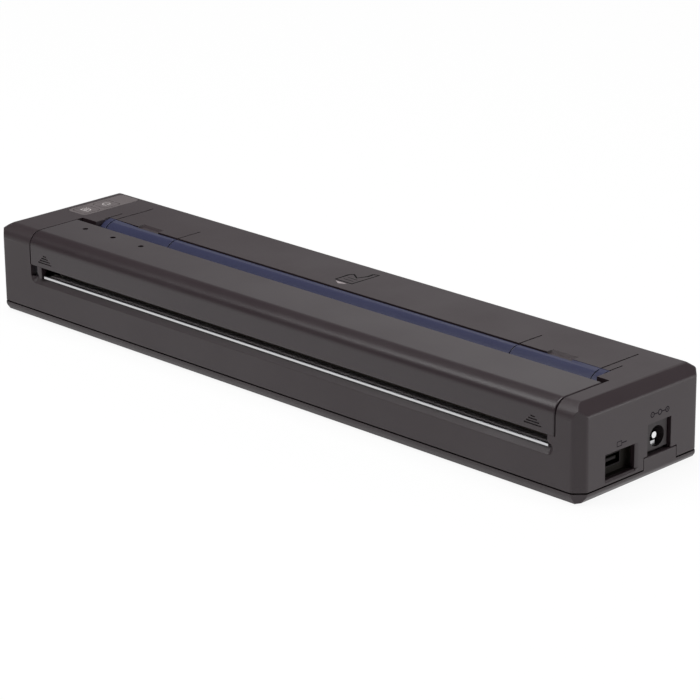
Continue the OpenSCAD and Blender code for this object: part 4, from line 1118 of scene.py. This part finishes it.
@dataclass
class Ports(Assembly):
    """Both ports of the right end with the recess and socket shell darkened as painted shade, the
    contacts and the small signs.
    """

    pieces = (
        # Painted shade: the socket shell is darkened for the shade of the port recess.
        Remake("socket_shell", "usb_socket", 0.15, SHADED_TIN, segments=3),
        # Painted shade: the tongue and the port tray are darkened for the shade of the port
        # recess.
        Trim("socket_tongue", "usb_socket", 0.15, SHADED_RECESS, low=((0, 1.6), (0, 1.5), (0.5, -0.55)),
             high=((1, -0.5), (1, -1.5), (0.5, 0.55))),
        Trim("socket_contacts", "usb_socket", 0.04, GOLD, count=5, step=(0, 0.78, 0),
             low=((0, 2.5), (0, 2.2), (0.5, -0.62)), high=((1, -0.9), (0, 2.55), (0.5, -0.5))),
        Remake("port_tray", "port_surround", 0.15, SHADED_RECESS),
        Remake("inlet_block", "dc_jack", 0.2, JACK, segments=3))
    pin_dome: float = 0.6
    pin_sides: int = 32
    leaf: tuple[Anchors, Anchors] = (((1, -3.2), (0.5, -1.2), (0.5, -3.1)),
                                     ((1, -0.9), (0.5, 1.0), (0.5, -2.75)))
    leaf_edge: float = 0.1 * MM
    tab: tuple[Anchors, Anchors] = (((1, -0.6), (0.5, -1.5), (0.5, -2.9)),
                                    ((1, -0.1), (0.5, 0.4), (0.5, -1.55)))
    tab_edge: float = 0.25 * MM
    proud: float = 0.012 * MM
    line: float = 0.42
    thin: float = 0.2
    sign_z: float = 19.7 * MM
    rings: tuple[float, ...] = (-3.3, 0.0, 3.3)
    ring_radius: float = 0.75
    links: tuple = (((-2.5, 0.0), (-0.8, 0.0)), ((0.8, 0.0), (2.5, 0.0)))
    poles: tuple = (((-3.65, 0.0), (-2.95, 0.0)), ((2.95, 0.0), (3.65, 0.0)),
                    ((3.3, -0.35), (3.3, 0.35)))
    plug: tuple = (((-11.6, 14.2), (-9.6, 14.2), (-9.6, 15.6), (-11.6, 15.6), (-11.6, 14.2)),
                   ((-9.6, 14.9), (-7.4, 14.9)))

    def inlet(self) -> None:
        """Builds the pin and the spring contact of the power inlet."""
        low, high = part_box("dc_pin")
        middle, radius = middle_of("dc_pin"), (high.z - low.z) / 2
        pin = rod("inlet_pin", (low.x, middle.y, middle.z), Axis.X, high.x - low.x, radius,
                  self.pin_sides)
        settle(bevelled(pin, self.pin_dome * radius, 5), BRIGHT, "housing", "dc_pin")
        leaf = bevelled(block("inlet_leaf", "dc_pin", *self.leaf), self.leaf_edge)
        tab = bevelled(block("inlet_tab", "dc_pin", *self.tab), self.tab_edge, 4)
        settle(joined("inlet_leaf", [leaf, tab]), SATIN, "housing")

    def signs(self) -> None:
        """Draws the polarity sign and the plug sign on the end face."""
        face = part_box("body_shell")[1].x
        rings = [arc((shift, 0.0), self.ring_radius, 0.0, 360.0, 20) for shift in self.rings]
        polarity = [(line, self.line) for line in (*rings, *self.links)]
        polarity += [(line, self.thin) for line in self.poles]
        plug = [(line, self.line) for line in self.plug]
        signs = [drawn("end_signs", Vector((face, *place)), lines, self.proud, Axis.X)
                 for place, lines in (((middle_of("dc_jack").y, self.sign_z), polarity),
                                      ((0, 0), plug))]
        settle(joined("end_signs", signs), FAINT, "housing")

    def details(self) -> None:
        """Builds the inlet and the signs."""
        self.inlet()
        self.signs()


@dataclass
class Drive(Assembly):
    """Roller, shaft, gears and motor."""

    pieces = (
        Remake("roller_rubber", "platen_rubber", 0.35, RUBBER, "platen", 3),
        Remake("roller_shaft", "platen_shaft", 0.4, BRIGHT, "platen", 3),
        Remake("roller_bushings", "platen_bushings", 0.1, GEAR, "cover"),
        Remake("platen_gear_moulding", "platen_gear", 0.05, GEAR, "platen", 1),
        Remake("drive_gear_moulding", "drive_gear", 0.05, GEAR, "drive", 1),
        Remake("idler_gear_moulding", "idler_gear", 0.05, GEAR, "idler", 1),
        Remake("brass_pinion", "motor_pinion", 0.04, BRASS, "pinion", 1),
        Remake("gear_studs", "gear_axles", 0.08, BRIGHT),
        Remake("motor_can", "stepper_motor", 0.4, STEEL, segments=3))
    hubs: tuple[tuple[str, str, float], ...] = (
        ("platen_gear", "platen", 3.6 * MM), ("drive_gear", "drive", 2.6 * MM),
        ("idler_gear", "idler", 3.4 * MM))
    hub_height: float = 0.25 * MM
    hub_root: float = 0.2 * MM
    hub_dish: Spot = (0.5 * MM, -0.12 * MM)
    hub_edge: float = 0.06 * MM
    hub_sides: int = 40
    cap_radius: float = 4.6 * MM
    cap_height: float = 0.5 * MM
    cap_root: float = 0.05 * MM
    cap_dish: Spot = (2.4 * MM, -0.25 * MM)
    cap_edge: float = 0.12 * MM
    cap_sides: int = 48
    screw_radius: float = 0.95 * MM
    screw_height: float = 0.7 * MM
    screw_dish: Spot = (0.45 * MM, -0.3 * MM)
    screw_edge: float = 0.1 * MM
    screw_sides: int = 24
    screw_start: float = 0.9 * MM
    screw_reach: float = 8.0 * MM

    def gear_hubs(self) -> None:
        """Builds the raised hubs of the three moulded gears."""
        for node, body, radius in self.hubs:
            middle = middle_of(node)
            hub = rod(node + "_hub", (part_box(node)[0].x - self.hub_height, middle.y, middle.z),
                      Axis.X, self.hub_height + self.hub_root, radius, self.hub_sides)
            dished(hub, -Axis.X.vector, self.hub_dish)
            settle(bevelled(hub, self.hub_edge), GEAR, body)

    def motor_details(self) -> None:
        """Builds the rolled end and the flange screws of the motor."""
        low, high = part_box("stepper_motor")
        middle = middle_of("stepper_motor")
        cap = rod("motor_end_cap", (high.x - self.cap_root, middle.y, middle.z), Axis.X,
                  self.cap_root + self.cap_height, self.cap_radius, self.cap_sides)
        dished(cap, Axis.X.vector, self.cap_dish)
        settle(bevelled(cap, self.cap_edge), STEEL, "housing")
        start = (low.x + self.screw_start, middle.y - self.screw_reach, middle.z)
        screws = rod("flange_screws", start, Axis.X, self.screw_height, self.screw_radius,
                     self.screw_sides)
        dished(screws, Axis.X.vector, self.screw_dish)
        rowed(bevelled(screws, self.screw_edge), 2, (0, 2 * self.screw_reach, 0))
        settle(screws, BRIGHT, "housing")

    def details(self) -> None:
        """Builds the hubs and what is on the motor."""
        self.gear_hubs()
        self.motor_details()


@dataclass
class PrintHead(Assembly):
    """The sprung print head."""

    pieces = (
        Remake("heater_board", "thermal_head", 0.1, CERAMIC, "head"),
        Trim("heater_line", "thermal_head", 0.035, GLAZE, "head",
             low=((0, 1), (0.5, -0.45), (1, -0.05)), high=((1, -1), (0.5, 0.45), (1, 0.03))),
        Trim("driver_cover", "thermal_head", 0.2, CHIP, "head", 3,
             low=((0, 2), (1, -2.6), (1, -0.05)), high=((1, -2), (1, -0.8), (1, 0.25))),
        Remake("sink_bar", "heat_sink", 0.15, ALUMINIUM, "head"),
        Remake("head_ribbon", "head_cable", 0.08, FILM))
    wire: float = 0.32 * MM
    wire_sides: int = 10
    turns: int = 4
    turn_steps: int = 20
    springs: int = 4
    travel: float = 0.5 * MM

    def details(self) -> None:
        """Builds the four coil springs."""
        low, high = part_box("head_springs")
        outer = (high.y - low.y) / 2
        coils = added("head_coils", bpy.ops.mesh.primitive_circle_add,
                      vertices=self.wire_sides, radius=self.wire / 2, fill_type="NOTHING",
                      location=(outer - self.wire / 2, 0.0, 0.0), rotation=(math.pi / 2, 0.0, 0.0))
        modified(coils, "SCREW", angle=2 * math.pi * self.turns,
                 steps=self.turn_steps * self.turns, screw_offset=high.z - low.z - self.wire,
                 use_merge_vertices=True)
        with editing(coils):
            bpy.ops.transform.translate(
                value=(low.x + outer, low.y + outer, low.z + self.wire / 2))
            bpy.ops.mesh.select_all(action="DESELECT")
            bpy.ops.mesh.select_mode(type="EDGE")
            bpy.ops.mesh.select_non_manifold()
            bpy.ops.mesh.edge_face_add()
            bpy.ops.mesh.select_all(action="SELECT")
            bpy.ops.mesh.normals_make_consistent(inside=False)
        step = (high.x - low.x - 2 * outer) / (self.springs - 1)
        settle(rowed(coils, self.springs, (step, 0, 0)), BRIGHT, "housing", "head_springs")
        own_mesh(coils)


@dataclass
class Electronics(Assembly):
    """Main board, its chips and connectors, and the legs and capacitors on it."""

    pieces = (Remake("logic_board", "main_board", 0.1, TRACKS),
              Remake("chips", "board_parts", 0.15, CHIP))
    legged: tuple[Spot, ...] = ((0.1, 0.09), (0.26, 0.05), (0.38, 0.04), (0.7, 0.08), (0.86, 0.03))
    rows: tuple[Triple, ...] = ((0.4, -0.7 * MM, 0.0), (0.7, 0.0, 0.7 * MM))
    leg_inset: float = 0.6 * MM
    leg_pitch: float = 0.8 * MM
    leg_width: float = 0.35 * MM
    leg_height: float = 0.3 * MM
    leg_edge: float = 0.05 * MM
    cans: tuple[float, ...] = (0.5, 0.55, 0.6)
    can_row: float = 0.3
    can_height: float = 1.3 * MM
    can_radius: float = 1.6 * MM
    can_dish: Spot = (0.25 * MM, -0.08 * MM)
    can_edge: float = 0.15 * MM
    can_sides: int = 32

    def legs(self) -> None:
        """Builds the legs of the chips, in two rows for each."""
        low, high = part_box("main_board")
        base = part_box("board_parts")[0].z
        length, depth = high.x - low.x, high.y - low.y
        legs = []
        for middle, share in self.legged:
            start = low.x + length * (middle - share / 2) + self.leg_inset
            count = int((length * share - 2 * self.leg_inset) / self.leg_pitch)
            for row, front, rear in self.rows:
                edge = low.y + depth * row
                leg = box("chip_leg", (start, edge + front, base),
                          (start + self.leg_width, edge + rear, base + self.leg_height))
                legs.append(rowed(bevelled(leg, self.leg_edge), count, (self.leg_pitch, 0, 0)))
        settle(joined("chip_legs", legs), BRIGHT, "housing")

    def capacitors(self) -> None:
        """Builds the three round capacitors, each with a dished top."""
        low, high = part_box("main_board")
        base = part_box("board_parts")[0].z
        cans = []
        for share in self.cans:
            centre = (low.x + (high.x - low.x) * share, low.y + (high.y - low.y) * self.can_row,
                      base)
            can = rod("capacitor", centre, Axis.Z, self.can_height, self.can_radius,
                      self.can_sides)
            cans.append(bevelled(dished(can, Axis.Z.vector, self.can_dish), self.can_edge, 3))
        settle(joined("capacitors", cans), ALUMINIUM, "housing")

    def details(self) -> None:
        """Builds the legs and the capacitors."""
        self.legs()
        self.capacitors()


@dataclass
class Battery(Assembly):
    """Battery pack, cradle, contacts and rear door."""

    pieces = (
        Remake("pack_film", "battery_sleeve", 0.28, SLEEVE, segments=3),
        Remake("cell_cans", "battery_cells", 0.5, STEEL, segments=3),
        Remake("pack_cradle", "battery_cradle", 0.2, INNER),
        Remake("contact_block", "battery_contacts", 0.25, CHIP),
        Trim("contact_blades", "battery_contacts", 0.03, GOLD, count=3, step=(0, 1.35, 0),
             low=((0, -0.08), (0, 0.6), (1, -5)), high=((0, 0.05), (0, 1.4), (1, -1))),
        Remake("rear_door_panel", "battery_door", 0.2, CASE, "rear_door"),
        Remake("rear_door_pins", "door_pins", 0.08, STEEL))


@dataclass
class SteelWork(Assembly):
    """Side plates, beam, bracket, latches, hinge pins and screws."""

    pieces = tuple(Remake(name, node, edge, STEEL) for name, node, edge in (
        ("left_plate", "left_side_plate", 0.12), ("right_plate", "right_side_plate", 0.12),
        ("ramp_beam", "cross_beam", 0.2), ("spring_channel", "head_bracket", 0.2),
        ("latch_springs", "cover_latches", 0.12), ("cover_pins", "hinge_pins", 0.25),
        ("tray_screws", "case_screws", 0.12), ("logic_screws", "board_screws", 0.3)))


# Camera, floor and light


@dataclass
class View:
    """The photograph's camera, fitted to the case corners; its angles are in degrees."""

    place: Triple = (0.663984, -0.654506, 0.339203)
    yaw: float = 44.9915
    pitch: float = 19.4951
    roll: float = -0.5062
    lens: float = 163.02
    sensor: float = 36.0
    nearest: float = 0.05

    def build(self) -> None:
        """Adds the camera and makes it the scene's own."""
        yaw, pitch = math.radians(self.yaw), math.radians(self.pitch)
        ahead = Vector((-math.sin(yaw) * math.cos(pitch), math.cos(yaw) * math.cos(pitch),
                        -math.sin(pitch)))
        right = Vector((math.cos(yaw), math.sin(yaw), 0.0))
        turn = Matrix.Rotation(math.radians(self.roll), 3, -ahead)
        axes = Matrix((turn @ right, turn @ right.cross(ahead), -ahead)).transposed()
        deselect_all()
        bpy.ops.object.camera_add(location=self.place)
        camera = bpy.context.object
        camera.matrix_world = Matrix.Translation(self.place) @ axes.to_4x4()
        camera.data.lens = self.lens
        camera.data.sensor_width = self.sensor
        camera.data.clip_start = self.nearest
        camera.data.dof.use_dof = False
        bpy.context.scene.camera = camera


@dataclass(frozen=True)
class Lamp:
    """A soft area lamp.

    Attributes:
        name: Name of the lamp.
        place: Where it stands.
        target: Point that it looks at.
        size: Width and height of its face.
        power: Power in watts.
    """

    name: str
    place: Triple
    target: Triple
    size: Spot
    power: float

    def build(self) -> None:
        """Adds the lamp."""
        deselect_all()
        bpy.ops.object.light_add(type="AREA", location=self.place)
        lamp = bpy.context.object
        lamp.name = self.name
        lamp.data.shape = "RECTANGLE"
        lamp.data.size, lamp.data.size_y = self.size
        lamp.data.energy = self.power
        aim = Vector(self.target) - Vector(self.place)
        lamp.rotation_euler = aim.to_track_quat("-Z", "Y").to_euler()


@dataclass
class Studio:
    """Pale floor, soft lamps and a dim surround with one soft bright patch."""

    floor_size: float = 12.0
    floor_colour: Triple = (250, 250, 250)
    floor_rough: float = 0.9
    floor_specular: float = 0.1
    floor_white: float = 0.92
    surround: float = 0.13
    patch_way: Triple = (-0.33, 0.91, 0.26)
    patch_angles: Spot = (38.0, 12.0)
    patch: float = 0.65
    lamps: tuple[Lamp, ...] = (
        Lamp("overhead", (-0.1, 0.0, 1.6), (0.0, 0.0, 0.0), (1.0, 1.0), 19.0),
        Lamp("right side", (1.35, 0.65, 0.3), (0.0, 0.0, 0.0), (0.8, 0.5), 8.0),
        Lamp("front top", (-0.36, -0.56, 0.74), (0.12, -0.02, 0.03), (0.42, 0.55), 3.5))

    def floor(self) -> None:
        """Adds the floor, which the camera and mirrors see near white."""
        floor = added("floor", bpy.ops.mesh.primitive_plane_add, size=self.floor_size)
        material = bpy.data.materials.new("pale floor")
        material.use_nodes = True
        tree = material.node_tree
        shader = tree.nodes["Principled BSDF"]
        feed(tree, shader, {"Base Color": linear(self.floor_colour),
                            "Roughness": self.floor_rough,
                            "Specular IOR Level": self.floor_specular})
        rays = tree.nodes.new("ShaderNodeLightPath").outputs
        seen = wired(tree, "Math", {0: rays["Is Camera Ray"], 1: rays["Is Glossy Ray"]},
                     operation="MAXIMUM")
        share = wired(tree, "Math", {0: seen, 1: self.floor_white}, operation="MULTIPLY")
        white = wired(tree, "Emission", {"Strength": 1.0})
        blend = wired(tree, "MixShader", {0: share, 1: shader.outputs["BSDF"], 2: white})
        feed(tree, tree.nodes["Material Output"], {"Surface": blend})
        floor.data.materials.append(material)

    def world(self) -> None:
        """Sets the surround, brighter round the middle of the patch."""
        world = bpy.data.worlds.new("surround")
        bpy.context.scene.world = world
        world.use_nodes = True
        tree = world.node_tree
        outer, inner = (math.cos(math.radians(angle)) for angle in self.patch_angles)
        near = wired(tree, "VectorMath", {0: wired(tree, "TexCoord", {}, "Generated"),
                                          1: Vector(self.patch_way).normalized()}, "Value",
                     operation="DOT_PRODUCT")
        strength = wired(tree, "MapRange", {"Value": near, "From Min": outer, "From Max": inner,
                                            "To Min": self.surround,
                                            "To Max": self.surround + self.patch},
                         interpolation_type="SMOOTHSTEP")
        feed(tree, tree.nodes["Background"], {"Color": (1.0, 1.0, 1.0, 1.0), "Strength": strength})

    def build(self) -> None:
        """Adds the floor, the lamps and the world."""
        self.floor()
        for lamp in self.lamps:
            lamp.build()
        self.world()


def main() -> None:
    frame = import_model()
    logging.basicConfig(level=logging.INFO, format="%(name)s: %(message)s")
    deselect_all()
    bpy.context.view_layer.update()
    LOG.info("dressing %d nodes", len(frame["nodes"]))
    bpy.context.scene.view_settings.view_transform = "Standard"
    for part in (View(), Studio(), UpperCase(), LowerCase(), Cover(), PaperPath(), Keys(),
                 TopMarks(), Ports(), Drive(), PrintHead(), Electronics(), Battery(),
                 SteelWork()):
        part.build()
        LOG.info("%s is built", type(part).__name__)
    for node, finish in KEPT_NODES.items():
        dress_node(node, finish)


if __name__ == "__main__":
    main()
